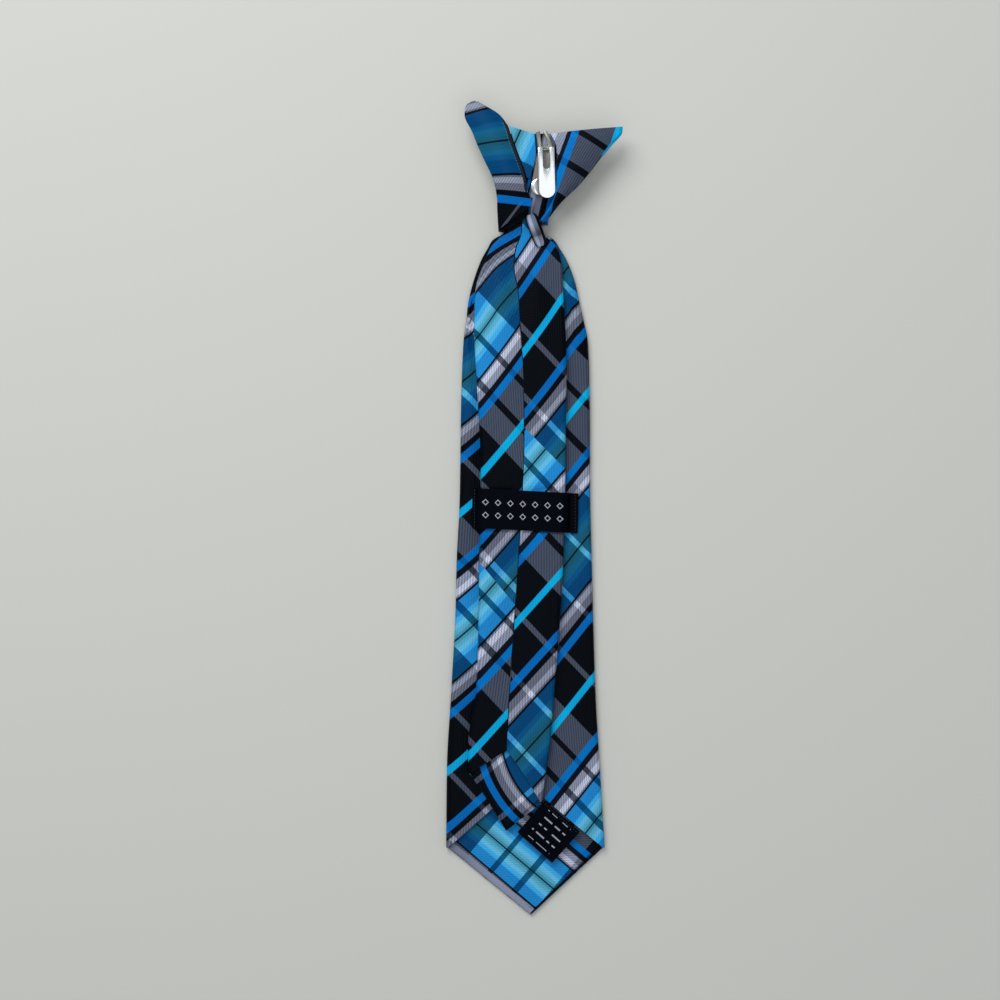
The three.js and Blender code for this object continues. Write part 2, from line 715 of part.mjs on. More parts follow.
// The clip's lever about its hinge: a paddle with a round end and a slot between two arms, which
// end in lugs on the pin
function clipLeverGeometry() {
  const half = lever_width / 2;
  const paddle = new THREE.Shape();
  paddle.moveTo(half, knuckle_radius);
  paddle.lineTo(-half, knuckle_radius);
  paddle.absarc(0, half - lever_length, half, Math.PI, 2 * Math.PI, false);
  const slot = new THREE.Shape();
  slot.moveTo(slot_width / 2, 2 * knuckle_radius);
  slot.lineTo(-slot_width / 2, 2 * knuckle_radius);
  slot.absarc(0, slot_width / 2 - slot_length, slot_width / 2, Math.PI, 2 * Math.PI, false);
  const blade = plate(paddle, sheet_metal, 16).translate(0, 0, lever_rise);
  const cut = plate(slot, 3 * sheet_metal, 10).translate(0, 0, lever_rise - sheet_metal);
  const lugs = [-1, 1].map((side) => (
    hingeLug(side * (half - sheet_metal / 2), lever_rise + sheet_metal / 2)));
  const lever = joined([blade, ...lugs], [cut, pin_hole]);
  return lever.rotateX(lever_tilt);
}

function material(color, roughness, metalness = 0) {
  return new THREE.MeshStandardMaterial({ color, roughness, metalness });
}

const cloth = material(0x2b6f94, 0.55);
const dark_cloth = material(0x1b2430, 0.55);
const aqua_cloth = material(0x58a8c8, 0.5);
const grey_cloth = material(0x7c7f90, 0.5);
const black_satin = material(0x0d1018, 0.6);
const chrome = material(0xdfe3e8, 0.15, 1);

function piece(name, geometry, look) {
  const mesh = new THREE.Mesh(geometry, look);
  mesh.name = name;
  return mesh;
}

const tie = new THREE.Group();
tie.add(piece('main_blade', bladeGeometry(), cloth));
tie.add(piece('blade_tipping', bladeTippingGeometry(), aqua_cloth));
tie.add(piece('tail_blade', tailGeometry(), dark_cloth));
tie.add(piece('tail_tipping', tailTippingGeometry(), grey_cloth));
tie.add(piece('keeper_label', keeperGeometry(), black_satin));
tie.add(piece('knot', knotGeometry(), dark_cloth));
tie.add(piece('left_wing', wingGeometry(left_wing_sections), cloth));
tie.add(piece('right_wing', wingGeometry(right_wing_sections), grey_cloth));
tie.add(piece('left_inner_fold', innerFoldGeometry(), aqua_cloth));
tie.add(piece('neck_roll', neckRollGeometry(), grey_cloth));

// The care label hangs from the right corner of the tail, turned across the tip
const care = new THREE.Group();
const care_height = bladeTop(0) + clearance;
const tail_corner_height = tail_tip_height + tail_right_corner_rise;
care.position.set(tailAt(tail_corner_height).right, tail_corner_height, care_height);
care.rotation.z = degToRad(care_turn);
const care_label = piece('care_label', new THREE.BoxGeometry(care_length, care_width, label_wall),
  black_satin);
care_label.position.set(
  clearance + care_length / 2, care_overhang - care_width / 2, label_wall / 2);
care.add(care_label);
tie.add(care);

// The clip stands on the back of the knot, below its top edge
const clip = new THREE.Group();
const plate_top = knot_depth + clearance + sheet_metal;
clip.position.set(clip_offset, knot_base_height + knot_height - hinge_drop, plate_top);
clip.add(piece('clip_plate', clipPlateGeometry(), chrome));
const hinge = new THREE.Group();
hinge.position.z = hinge_height;
hinge.add(piece('clip_pin', rodAlongX(pin_radius, lever_width, 12), chrome));
hinge.add(piece('clip_lever', clipLeverGeometry(), chrome));
clip.add(hinge);
clip.rotation.z = degToRad(lever_turn);
tie.add(clip);

// The origin is under the middle of the tie's box
const box = new THREE.Box3().setFromObject(tie);
tie.position.set(-(box.min.x + box.max.x) / 2, -(box.min.y + box.max.y) / 2, -box.min.z);

export default tie;
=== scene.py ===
# %% [markdown]
# # A boys' clip-on tie, lying on its face
#
# The tie lies face down, so its back is up: the two long flaps of the wide blade, the narrow tail
# on them, the keeper label, and the knot with its two wings and its metal clip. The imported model
# gives the size and the place of every piece. Each cloth piece is made again here on a fine grid,
# with the folds, the plaid and the stitches that the source leaves out.

# %% The frame
import bmesh
import bpy
import math
import numpy as np
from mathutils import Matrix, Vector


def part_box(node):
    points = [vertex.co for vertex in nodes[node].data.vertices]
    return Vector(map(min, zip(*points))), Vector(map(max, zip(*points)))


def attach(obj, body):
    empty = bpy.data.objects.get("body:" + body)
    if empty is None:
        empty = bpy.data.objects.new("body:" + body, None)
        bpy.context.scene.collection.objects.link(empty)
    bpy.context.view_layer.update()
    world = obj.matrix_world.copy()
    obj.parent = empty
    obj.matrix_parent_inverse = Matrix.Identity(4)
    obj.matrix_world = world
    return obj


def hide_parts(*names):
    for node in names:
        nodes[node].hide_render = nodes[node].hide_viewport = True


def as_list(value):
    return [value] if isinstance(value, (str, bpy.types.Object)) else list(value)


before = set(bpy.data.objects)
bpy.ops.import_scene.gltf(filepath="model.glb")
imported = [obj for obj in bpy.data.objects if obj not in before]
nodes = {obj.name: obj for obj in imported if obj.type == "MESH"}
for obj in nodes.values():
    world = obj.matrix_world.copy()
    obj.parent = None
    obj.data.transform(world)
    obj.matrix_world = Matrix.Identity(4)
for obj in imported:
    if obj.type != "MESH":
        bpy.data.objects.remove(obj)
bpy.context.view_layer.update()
print("nodes:", sorted(nodes))

# %% [markdown]
# ## Places and sizes
#
# The cloth is worked out in millimetres from the pointed tip of the tie, with x across, y along and
# z up. Only the finished points are turned into metres and shifted into the model's own frame, so
# every size below can be read off a ruler. The tables of outlines hold shares of these sizes.

# %% Sizes of the cloth
MM = 0.001
GAP = 0.3
BLADE = dict(width=69.5, length=306.5, drop=29.7, offset=2.4, wall=1.2, fold=1.6, slit=1.0)
TAIL = dict(width=40.0, tip=37.4, wall=1.0, fold=1.6, slit=0.5,
            left_rise=25.2, right_rise=12.0, seam_rise=35.5)
TIPPING = dict(wall=1.0, reach=46.0, tail_reach=44.0)
KEEPER = dict(wall=1.0, height=17.4, place=177.4, left=3.4, right=5.8, turn=-3.0)
CARE = dict(length=20.3, width=18.2, wall=1.0, turn=-41.5, over=1.6)
KNOT = dict(base=299.5, width=41.5, height=42.0, depth=11.0, wall=1.2, clear=0.6, fold=0.5)
WING = dict(wall=1.0, roll=0.5, puff=2.2, steps=10, foot_rows=24)
ROLL = dict(puffed=1.3 * 4.4, thick=2.8, wall=0.5)

# How far right of the wide blade's left side its tip is
TIP_FROM_LEFT = 34.545
low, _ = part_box("main_blade")
SHIFT = np.array([low.x / MM + TIP_FROM_LEFT, low.y / MM, 0.0])


def table(names, text):
    """A table of numbers with named columns"""
    rows = np.array([[float(word) for word in line.split()] for line in text.strip().splitlines()])
    return {name: rows[:, index] for index, name in enumerate(names.split())}


def joined(*parts):
    """Points made of numbers or arrays of fitting shapes, one for each axis"""
    return np.stack(np.broadcast_arrays(*parts), -1)


def placed(name, data):
    """A new object at the origin, with a mesh, a lamp or a camera as its data"""
    obj = bpy.data.objects.new(name, data)
    bpy.context.collection.objects.link(obj)
    return obj


def applied(obj):
    """The mesh of an object as its modifiers make it"""
    bpy.context.view_layer.update()
    return bpy.data.meshes.new_from_object(obj.evaluated_get(bpy.context.evaluated_depsgraph_get()))


print("shift in mm:", SHIFT.round(2))

# %% Outlines of the blade and the tail
blade_rows = table("along half lean lift pinch", """
    0.000 1.000  0.006 0 0
    0.140 0.960 -0.021 0 0
    0.234 0.916 -0.021 0 0
    0.361 0.871 -0.009 0 0
    0.456 0.852 -0.009 0 0
    0.550 0.824  0.000 0 0
    0.708 0.811  0.006 0 0
    0.803 0.783  0.009 0 0
    0.834 0.742  0.000 0 0.1
    0.866 0.698 -0.013 0.05 0.3
    0.898 0.635 -0.010 0.25 0.6
    0.929 0.541 -0.013 0.6 0.9
    0.948 0.453 -0.016 0.85 1
    0.961 0.385 -0.020 1 1
    0.971 0.250 -0.022 1 1
    1.000 0.245 -0.022 1 1""")
tail_rows = table("along left seam right", """
    0.045 -0.600 -0.205 0.187
    0.091 -0.617 -0.202 0.225
    0.139 -0.623 -0.200 0.273
    0.180 -0.595 -0.186 0.295
    0.229 -0.535 -0.169 0.323
    0.343 -0.508 -0.117 0.382
    0.440 -0.503 -0.073 0.420
    0.602 -0.486 -0.015 0.446
    0.676 -0.508 -0.011 0.448
    0.746 -0.535 -0.019 0.457
    0.817 -0.557 -0.051 0.442
    0.878 -0.541 -0.076 0.418
    0.901 -0.505 -0.109 0.411
    0.924 -0.440 -0.120 0.397
    0.947 -0.375 -0.098 0.350
    0.959 -0.300 -0.066 0.270
    0.971 -0.215 -0.040 0.170
    1.000 -0.200 -0.030 0.165""")

# %% Outlines of the knot and its wings
knot_rows = table("along left right depth", """
    0.000 -0.279 0.242 0.85
    0.208 -0.292 0.272 0.88
    0.333 -0.294 0.340 0.92
    0.552 -0.332 0.460 0.98
    0.729 -0.395 0.500 1.00
    0.896 -0.453 0.518 0.98
    1.000 -0.474 0.526 0.92""")
WING_NAMES = "inner_x inner_y outer_x outer_y base puff"
left_wing_rows = table(WING_NAMES, """
     0.070 0.250 -0.279 0.010 0.93 0.20
     0.056 0.330 -0.292 0.210 0.96 0.40
     0.020 0.400 -0.297 0.360 0.99 0.65
     0.005 0.500 -0.345 0.550 1.03 0.90
    -0.037 0.640 -0.430 0.730 1.03 1.00
    -0.090 0.780 -0.505 0.895 1.03 1.00
    -0.142 0.920 -0.560 1.030 1.03 1.00
    -0.184 1.060 -0.630 1.165 1.00 1.00
    -0.270 1.180 -0.625 1.270 0.97 0.75
    -0.446 1.300 -0.590 1.345 0.94 0.30""")
right_wing_rows = table(WING_NAMES, """
    0.165 0.100 0.228 0.100 0.91 0.10
    0.245 0.210 0.322 0.225 0.93 0.20
    0.305 0.320 0.415 0.325 0.97 0.35
    0.330 0.440 0.550 0.450 1.02 0.60
    0.335 0.580 0.670 0.585 1.03 0.80
    0.335 0.730 0.790 0.740 1.03 0.95
    0.328 0.870 0.905 0.880 1.02 1.00
    0.290 0.955 0.998 0.985 1.00 0.90
    0.270 0.990 1.010 1.065 0.98 0.60""")
inner_fold_rows = table("left_x left_y right_x right_y", """
     0.018 0.540 0.052 0.540
    -0.022 0.660 0.086 0.660
    -0.075 0.800 0.110 0.780
    -0.122 0.925 0.106 0.890
    -0.165 1.075 0.095 0.995""")
neck_roll_rows = table("x y size", """
    0.056  0.160 0.50
    0.070  0.120 0.90
    0.098  0.040 1.00
    0.132 -0.045 1.00
    0.160 -0.120 0.85
    0.170 -0.155 0.45""")

# %% [markdown]
# ## Reading the tables
#
# A blade's edge is a smooth curve through the measured rows. Reading a column at any height gives
# that curve, and reading it for a whole grid at once keeps the script quick.

# %% Reading a column
def column(rows, name, place):
    """One column at places along it, on a smooth curve through its rows"""
    along, value = rows["along"], rows[name]
    end = len(along) - 1
    row = np.clip(np.searchsorted(along, place) - 1, 0, end - 1)
    before, after = np.maximum(row - 1, 0), np.minimum(row + 2, end)
    span = along[row + 1] - along[row]
    t = np.clip((place - along[row]) / span, 0, 1)
    leave = (value[row + 1] - value[before]) / (along[row + 1] - along[before]) * span
    arrive = (value[after] - value[row]) / (along[after] - along[row]) * span
    return ((2 * t**3 - 3 * t**2 + 1) * value[row] + (t**3 - 2 * t**2 + t) * leave
            + (3 * t**2 - 2 * t**3) * value[row + 1] + (t**3 - t**2) * arrive)


def finer(rows, steps):
    """A table with more rows put between its own on smooth curves"""
    count = len(next(iter(rows.values())))
    whole = dict(rows, along=np.arange(count))
    places = np.linspace(0, count - 1, (count - 1) * steps + 1)
    return {name: column(whole, name, places) for name in rows}


def lerp(a, b, t):
    return a + (b - a) * t


def ease(t):
    """0 to 1 with a soft start and end"""
    t = np.clip(t, 0, 1)
    return t * t * (3 - 2 * t)


# %% Sections of the blade and the tail
def blade_at(y):
    """The wide blade at heights y: its edges, its seam, and the heights of its two layers"""
    place = (y - BLADE["drop"]) / (BLADE["length"] - BLADE["drop"])
    half = BLADE["width"] / 2 * column(blade_rows, "half", place)
    seam = BLADE["width"] / 2 * column(blade_rows, "lean", place)
    lift = np.clip(column(blade_rows, "lift", place), 0, 1)
    pinch = np.clip(column(blade_rows, "pinch", place), 0, 1)
    gap = lerp(BLADE["fold"], KNOT["fold"], pinch)
    base = (KNOT["wall"] + KNOT["clear"]) * lift + BLADE["wall"] / 2
    return dict(left=seam - half, right=seam + half, seam=seam, pinch=pinch,
                point=seam + BLADE["offset"] * 2 * half / BLADE["width"],
                low=base, rise=gap + BLADE["wall"])


def blade_top(y):
    at = blade_at(y)
    return at["low"] + at["rise"] + BLADE["wall"] / 2


def tail_at(y):
    """The tail at heights y. It lies on the flaps of the wide blade."""
    place = (y - TAIL["tip"]) / (BLADE["length"] - TAIL["tip"])
    seam = TAIL["width"] * column(tail_rows, "seam", place)
    gap = lerp(TAIL["fold"], KNOT["fold"], blade_at(y)["pinch"])
    return dict(left=TAIL["width"] * column(tail_rows, "left", place),
                right=TAIL["width"] * column(tail_rows, "right", place), seam=seam, point=seam,
                low=blade_top(y) + GAP + TAIL["wall"] / 2, rise=gap + TAIL["wall"])


def tail_top(y):
    at = tail_at(y)
    return at["low"] + at["rise"] + TAIL["wall"] / 2


here = blade_at(np.array(KEEPER["place"]))
print("blade at the keeper, mm:", {name: round(float(value), 2) for name, value in here.items()})

# %% [markdown]
# ## From a grid to a piece of cloth
#
# A real tie is cut from woven cloth about a millimetre thick with its padding. A grid of points on
# the middle of the cloth is enough to say where it runs. The wall is then put on both sides of the
# grid and closed at its edges, so that the piece is solid from every side. Each point also carries
# its place in the weave, in millimetres along and across the threads, as a UV map.

# %% A wall round a grid
def normals_of(grid, ring=False):
    """The direction out of the cloth at each point of a grid"""
    def step(array, axis, wrap):
        if wrap:
            return np.roll(array, -1, axis) - np.roll(array, 1, axis)
        return np.gradient(array, axis=axis)
    across, along = step(grid, 1, ring), step(grid, 0, False)
    normal = np.cross(across, along)
    return normal / np.maximum(np.linalg.norm(normal, axis=2, keepdims=True), 1e-9)


def cut_size(grid, ring=False):
    """Widest and longest run of the cloth and its area, in metres, as it was cut"""
    grid = np.concatenate([grid, grid[:, :1]], axis=1) if ring else grid
    across, along = np.diff(grid, axis=1), np.diff(grid, axis=0)
    width = np.linalg.norm(across, axis=2).sum(1).max()
    length = np.linalg.norm(along, axis=2).sum(0).max()
    area = np.linalg.norm(np.cross(across[:-1], along[:, :-1]), axis=2).sum()
    return width * MM, length * MM, min(area, width * length) * MM * MM


def cloth(name, grid, wall, maps, ring=False):
    """A closed piece of cloth round a grid of points in mm. maps holds a place in the weave for
    each point, under the name of the UV map that keeps it, or one for each side of the cloth."""
    rows, cols = grid.shape[:2]
    cut_size(grid, ring)
    if "weave" in maps and "threads" not in maps:
        maps["threads"] = maps["weave"]
    out = normals_of(grid, ring) * wall / 2
    points = np.concatenate([(grid + out).reshape(-1, 3), (grid - out).reshape(-1, 3)])
    index = np.arange(rows * cols).reshape(rows, cols)
    if ring:
        index = np.concatenate([index, index[:, :1]], axis=1)
    under = index + rows * cols
    a, b, c, d = index[:-1, :-1], index[:-1, 1:], index[1:, 1:], index[1:, :-1]
    quads = [np.stack([a, b, c, d], -1).reshape(-1, 4)]
    quads.append(np.stack([a, d, c, b], -1).reshape(-1, 4) + rows * cols)
    ends = [(index[0], under[0], False), (index[-1], under[-1], True)]
    if not ring:
        ends += [(index[:, 0], under[:, 0], True), (index[:, -1], under[:, -1], False)]
    for top, foot, turn in ends:
        rim = np.stack([top[:-1], foot[:-1], foot[1:], top[1:]], -1)
        quads.append(rim[:, ::-1] if turn else rim)
    faces = np.concatenate(quads)
    mesh = bpy.data.meshes.new(name)
    mesh.from_pydata(((points + SHIFT) * MM).tolist(), [], faces.tolist())
    for title, places in maps.items():
        layer = mesh.uv_layers.new(name=title)
        inner, outer = places if isinstance(places, tuple) else (places, places)
        both = np.concatenate([inner.reshape(-1, 2), outer.reshape(-1, 2)])
        layer.data.foreach_set("uv", both[faces.reshape(-1)].ravel())
    mesh.shade_smooth()
    mesh.set_sharp_from_angle(angle=math.radians(50))
    print(name, "has", 2 * len(faces), "triangles")
    return placed(name, mesh)


# %% [markdown]
# ## The folded blades
#
# Both blades are one cloth each, folded to the back along two soft edges until the flaps meet at
# the seam. Every column of the grid starts on the pointed lower edge and runs up to the knot, so
# the point, the rolled edges and the flaps come out of one grid without any joins.

# %% A folded section
def folded(at, wall, slit, counts):
    """Columns of a folded cloth, for heights given as an array with one column for each"""
    front, roll, flap = counts
    kinds = [(kind, -1, step / count) for kind, count in (("flap", flap), ("roll", roll))
             for step in range(count)]
    kinds += [("front", 0, 2 * step / front - 1) for step in range(front + 1)]
    kinds += [(kind, 1, step / count) for kind, count in (("roll", roll), ("flap", flap))
              for step in range(count - 1, -1, -1)]
    x, z, reach, side, layer = [], [], [], [], []
    for col, (kind, sign, share) in enumerate(kinds):
        here = {key: value[..., col] for key, value in at.items()}
        radius = here["rise"] / 2
        edges = {-1: here["left"] + wall / 2, 1: here["right"] - wall / 2}
        if kind == "front":
            sign = -1 if share < 0 else 1
        edge = edges[sign]
        centre = edge - sign * radius
        if kind == "flap":
            px = lerp(here["seam"] + sign * slit / 2, centre, share)
            pz = here["low"] + here["rise"]
        elif kind == "roll":
            angle = math.pi * (0.5 - share)
            px = centre + sign * radius * math.cos(angle)
            pz = here["low"] + radius + radius * math.sin(angle)
        else:
            px = lerp(here["point"], centre, abs(share))
            pz = here["low"]
        back = kind == "flap" or kind == "roll" and share < 0.5
        near = here["seam"] if back else here["point"]
        turn = np.abs(px - near) / np.abs(edge - near)
        x.append(px)
        z.append(pz)
        reach.append(2 - turn if back else turn)
        side.append(sign)
        layer.append(1 if back else 0)
    return [np.stack(v, -1) for v in (x, z, reach)] + [np.array(side), np.array(layer), kinds]


def pointed(at, wall, slit, counts, foot_height, foot_of, top, rows):
    """Grid of a folded blade that is cut to a point at its foot"""
    cols = counts[0] + 1 + 2 * counts[1] + 2 * counts[2]
    _, _, reach, side, layer, kinds = folded(at(np.full(cols, foot_height)), wall, slit, counts)
    feet = foot_of(reach, side)
    y = lerp(feet, top, np.linspace(0, 1, rows)[:, None])
    x, z, _, _, _, _ = folded(at(y), wall, slit, counts)
    return joined(x, y, z), side, layer, kinds


def wander(x, y, scale, seed):
    """A soft uneven height from -1 to 1, the same on every run"""
    total = 0
    for turn in range(4):
        angle = seed * 1.7 + turn * 2.4
        wave = scale * (0.7 + 0.2 * turn)
        total = total + np.sin((x * math.cos(angle) + y * math.sin(angle)) / wave + seed + turn)
    return total / 4


# %% [markdown]
# ## The plaid, as a place in the weave
#
# The plaid is two sets of stripes. The warp set runs up to the right and has broad teal zones,
# white bands and blue lines, and the weft set runs down to the right and turns the ground from
# black to grey. The flaps are cut at a slight twist to each other, so each strip has its own list
# of the heights above the tip, in millimetres, at which the stripes cross its middle. Between them
# the cloth is stretched evenly. The shader then needs only the place in the weave.

# %% Stripes along each strip
HALF = 41.2
REPEAT = 109.5
WARP = dict(A=0, thin=13.3, blue=24.2, cyan=41.2)
WEFT = dict(light=0, band1=12.6, band2=26.9, dark=39.5, line1=56.7, line2=75.0, line3=93.1)
OVER_LIGHT_WEFT, OVER_DARK_WEFT = 6.0, 46.0
BLACK_LINE, CYAN_LINE = (13.7, OVER_DARK_WEFT), (41.2, OVER_DARK_WEFT)


def phases(text, marks, period, mirrored):
    """Heights and running places in the weave for a list such as 'A 236.6, thin 217.6'"""
    pairs = [item.split() for item in text.split(",")]
    heights = [float(height) for _, height in pairs]
    names = [name for name, _ in pairs]
    starts = [marks[names[0]]] + ([period - marks[names[0]]] if mirrored else [])
    best = None
    for start in starts:
        run = [start]
        for name in names[1:]:
            options = [marks[name] + turn * period for turn in range(-1, 12)]
            if mirrored:
                options += [turn * period - marks[name] for turn in range(-1, 12)]
            run.append(min(o for o in options if o > run[-1] + 1))
        if best is None or run[-1] - run[0] < best[-1] - best[0]:
            best = run
    return np.array(heights[::-1]), np.array(best[::-1])


def stretch(height, heights, places):
    """Even stretch between the listed heights, and past the ends of the list"""
    inside = np.interp(height, heights, places)
    slope = (places[-1] - places[0]) / (heights[-1] - heights[0])
    past = np.minimum(height - heights[0], 0) + np.maximum(height - heights[-1], 0)
    return inside + slope * past


def strip(middle, warp_turn, weft_turn, warp, weft):
    """Place in the weave on one strip, as a function of x and y. The turns are the slopes of the
    stripes in degrees, as (height, slope) pairs."""
    warp_run = phases(warp, WARP, 2 * HALF, True)
    weft_run = phases(weft, WEFT, REPEAT, False)

    def place(x, y):
        warp_slope = np.tan(np.radians(np.interp(y, *zip(*warp_turn))))
        weft_slope = np.tan(np.radians(np.interp(y, *zip(*weft_turn))))
        return joined(stretch(y - (x - middle) * warp_slope, *warp_run),
                      stretch(y + (x - middle) * weft_slope, *weft_run))
    return place


def steady(degrees):
    return [(0, degrees), (1, degrees)]


blade_left = strip(-24, steady(42), steady(47),
                   "A 236.6, thin 217.6, blue 203.2, cyan 179.9, blue 157.9, thin 143.1, A 126.0,"
                   "thin 108.8, blue 95.6, cyan 71.9, blue 47.2",
                   "dark 330, line1 258.6, line2 226.4, line3 197.7, light 171.1, band1 152.7,"
                   "band2 131, dark 111.4, line1 82.4, line2 53.3, line3 26.5")
blade_right = strip(23, steady(52), steady(46),
                    "thin 268.4, blue 251.4, cyan 223.4, blue 197.3, thin 182.2, A 160.4,"
                    "thin 139.8, blue 123.3, cyan 95.6, blue 67.7, thin 50.7, A 31.9",
                    "light 247.4, band1 228.5, band2 207.2, dark 188.5, line1 163.2, line2 136.3,"
                    "line3 109.5, light 85.4, band1 68.1, band2 50.6")
tail_turn = [(110, 48), (204, 50), (280, 57)]
tail_left = strip(-11, [(110, 48), (204, 50), (262, 55), (280, 46), (295, 30)], steady(47),
                  "blue 294.2, thin 284.7, A 266.4, thin 246.3, blue 229.7, cyan 202.9, blue 173.9,"
                  "thin 158.8, A 140.6",
                  "line3 330, light 262.9, band1 243.9, band2 223.9, dark 206.2, line1 181.3,"
                  "line2 151.0")
tail_left_below = strip(-11, tail_turn, steady(47),
                        "A 148.2, thin 128.0, blue 110.6, cyan 85.2",
                        "band1 132.9, band2 112.3, dark 91.4, line1 63.7")
tail_right = strip(8, tail_turn, steady(47),
                   "blue 287.4, cyan 258.2, blue 229.7, thin 213.8, A 193.6",
                   "dark 275.6, line1 248.3, line2 218.5")
tail_right_below = strip(8, tail_turn, steady(47),
                         "A 203.1, thin 184.4, blue 167.2, cyan 141.6, blue 116.3, thin 99.9,"
                         "A 81.0, thin 61.5",
                         "band1 191.1, band2 168.7, dark 148.5, line1 121.3, line2 91.6,"
                         "line3 63.6")


def ruled(x, y, corner, along, warp, weft):
    """Place in the weave where the stripes are straight: warp and weft are (distance, place)
    pairs, measured from a corner square to the stripes and along them"""
    dx, dy = x - corner[0], y - corner[1]
    ux, uy = math.cos(math.radians(along)), math.sin(math.radians(along))
    return joined(stretch(-dx * uy + dy * ux, *map(np.array, zip(*warp))),
                  stretch(dx * ux + dy * uy, *map(np.array, zip(*weft))))


def tip_place(x, y):
    """The turned cloth and the lining at the wide tip, whose stripes follow the lower left edge"""
    return ruled(x, y, (-34.1, 31.2), -40.3,
                 [(0, -17.2), (3.6, -13.3), (15.2, 0), (26.8, 13.3), (36.3, 24.2)],
                 [(10.1, 0), (22.1, 12.6), (35.6, 26.9)])


def tail_tip_place(x, y):
    """The stripes bend round a middle far to the right, and the weft runs straight"""
    turn = np.hypot(x - 33.2, y - 81.4)
    across = x * 0.662 - y * 0.749
    return joined(24.2 + (turn - 54) * 1.08, 56.7 + (across + 58.8) * 0.95)


print("weave at the keeper:", blade_left(np.array([-24.0]), np.array([177.4])).round(1))

# %% The folded cloth's place in the weave
def laid_flat(grid, kinds, at, wall):
    """x of each point as if the cloth lay flat about its left fold, and about its right one"""
    x, here = grid[..., 0], at(grid[..., 1])
    radius = here["rise"] / 2
    both = []
    for sign, edge in ((-1, here["left"]), (1, here["right"])):
        centre = edge - sign * (wall / 2 + radius)
        flat = 2 * centre - x + sign * math.pi * radius
        for col, (kind, side, share) in enumerate(kinds):
            if kind == "flap":
                flat[:, col] = x[:, col]
            elif kind == "roll" and side == sign:
                flat[:, col] = centre[:, col] + sign * math.pi * radius[:, col] * share
        both.append(flat)
    return both


def carried(grid, side, layer, kinds, left, right, at, wall):
    """The flaps' own stripes, carried round the two edges to the front, where the two meet"""
    x, y = grid[..., 0], grid[..., 1]
    here = at(y)
    about_left, about_right = laid_flat(grid, kinds, at, wall)
    from_left, from_right = left(about_left, y), right(about_right, y)
    period = np.array([2 * HALF, REPEAT])
    middle = from_left.shape[0] // 2, from_left.shape[1] // 2
    gap = (from_left - from_right)[middle]
    from_right = from_right + np.round(gap / period) * period
    share = ease((x - here["left"]) / (here["right"] - here["left"]))
    share = np.where(layer == 1, side > 0, share)[..., None]
    return lerp(from_left, from_right, share)


# %% [markdown]
# ## The wide blade
#
# The visible parts are two long strips beside the tail. They are not flat: the padding lifts each
# one between its rolled edge and the tail, and towards the knot the cloth is gathered into long
# pleats. The part under the tail stays flat, because the tail presses on it.

# %% Wide blade
def blade_relief(grid, side, layer):
    """How far the flaps are lifted: by the padding beside the tail, and by pleats at the knot"""
    x, y = grid[..., 0], grid[..., 1]
    blade, tail = blade_at(y), tail_at(np.maximum(y, TAIL["tip"] + 1))
    left_share = (x - blade["left"]) / (tail["left"] - 1 - blade["left"])
    right_share = (blade["right"] - x) / (blade["right"] - tail["right"] - 1)
    share = np.clip(np.where(side < 0, left_share, right_share), 0, 1)
    calm = ease((BLADE["length"] - 12 - y) / 30)
    height = 0.55 * np.sin(np.pi * share) * calm
    height = height + 0.35 * wander(x, y, 14, 3) * np.sin(np.pi * share) * calm
    gather = ease((y - 225) / 50) * calm
    height = height + 0.7 * gather * np.sin(np.pi * share) * np.sin(9 * share + y / 26)
    return np.where(layer == 1, height, 0)


grid, side, layer, kinds = pointed(
    blade_at, BLADE["wall"], BLADE["slit"], (44, 8, 26), BLADE["drop"],
    lambda reach, side: BLADE["drop"] * reach, BLADE["length"], 300)
grid[..., 2] += blade_relief(grid, side, layer)
weave = carried(grid, side, layer, kinds, blade_left, blade_right, blade_at, BLADE["wall"])
inner = np.where((layer == 0)[:, None], tip_place(grid[..., 0], grid[..., 1]), weave)
main_blade = cloth("blade_cloth", grid, BLADE["wall"], {"weave": (inner, weave)})

# %% [markdown]
# ## The tail
#
# The tail is folded in the same way and lies on the wide blade. Each half of it is pieced on a
# slanting seam, where the plaid jumps. Both runs of the plaid are kept, in two UV maps, and a third
# map says how far a point is from the seam, so that the shader can change over exactly on it.

# %% Tail
def tail_foot(reach, side):
    """Where each column starts. reach runs from the point over the corner to the seam."""
    corner = np.where(side < 0, TAIL["left_rise"], TAIL["right_rise"])
    low_edge = TAIL["tip"] + corner * reach
    back_edge = TAIL["tip"] + lerp(corner, TAIL["seam_rise"], reach - 1)
    return np.where(reach <= 1, low_edge, back_edge)


def tail_relief(grid, side, layer):
    """How far the tail's flaps are lifted. The keeper holds them flat."""
    x, y = grid[..., 0], grid[..., 1]
    at = tail_at(y)
    edge = np.where(side < 0, at["left"], at["right"])
    share = np.clip((x - at["seam"]) / (edge - at["seam"]), 0, 1)
    held = np.minimum(1, np.abs(y - KEEPER["place"]) / 22) ** 0.7
    held = np.where(np.abs(y - KEEPER["place"]) < 10, 0, held)
    calm = ease((BLADE["length"] - 10 - y) / 24) * ease((y - 60) / 20) * ease(held * 1.6)
    height = (0.7 + 0.35 * wander(x, y, 13, 7)) * np.sin(np.pi * share) ** 0.8 * calm
    gather = ease((y - 235) / 40) * calm
    height = height + 0.5 * gather * np.sin(np.pi * share) * np.sin(7 * share - y / 20)
    return np.where(layer == 1, height, 0)


# The ends of the two slanting seams, as x and y of each: one crosses each half of the tail
SEAMS = ((-20.5, 155.8, -3.9, 135.7), (-0.44, 213.9, 17.9, 195.1))


def seam_distance(x, y):
    """Distance above the slanting seams, along y"""
    left, right = [(x - x0) * (y1 - y0) / (x1 - x0) + y0 for x0, y0, x1, y1 in SEAMS]
    return np.where(x < tail_at(y)["seam"], y - left, y - right)


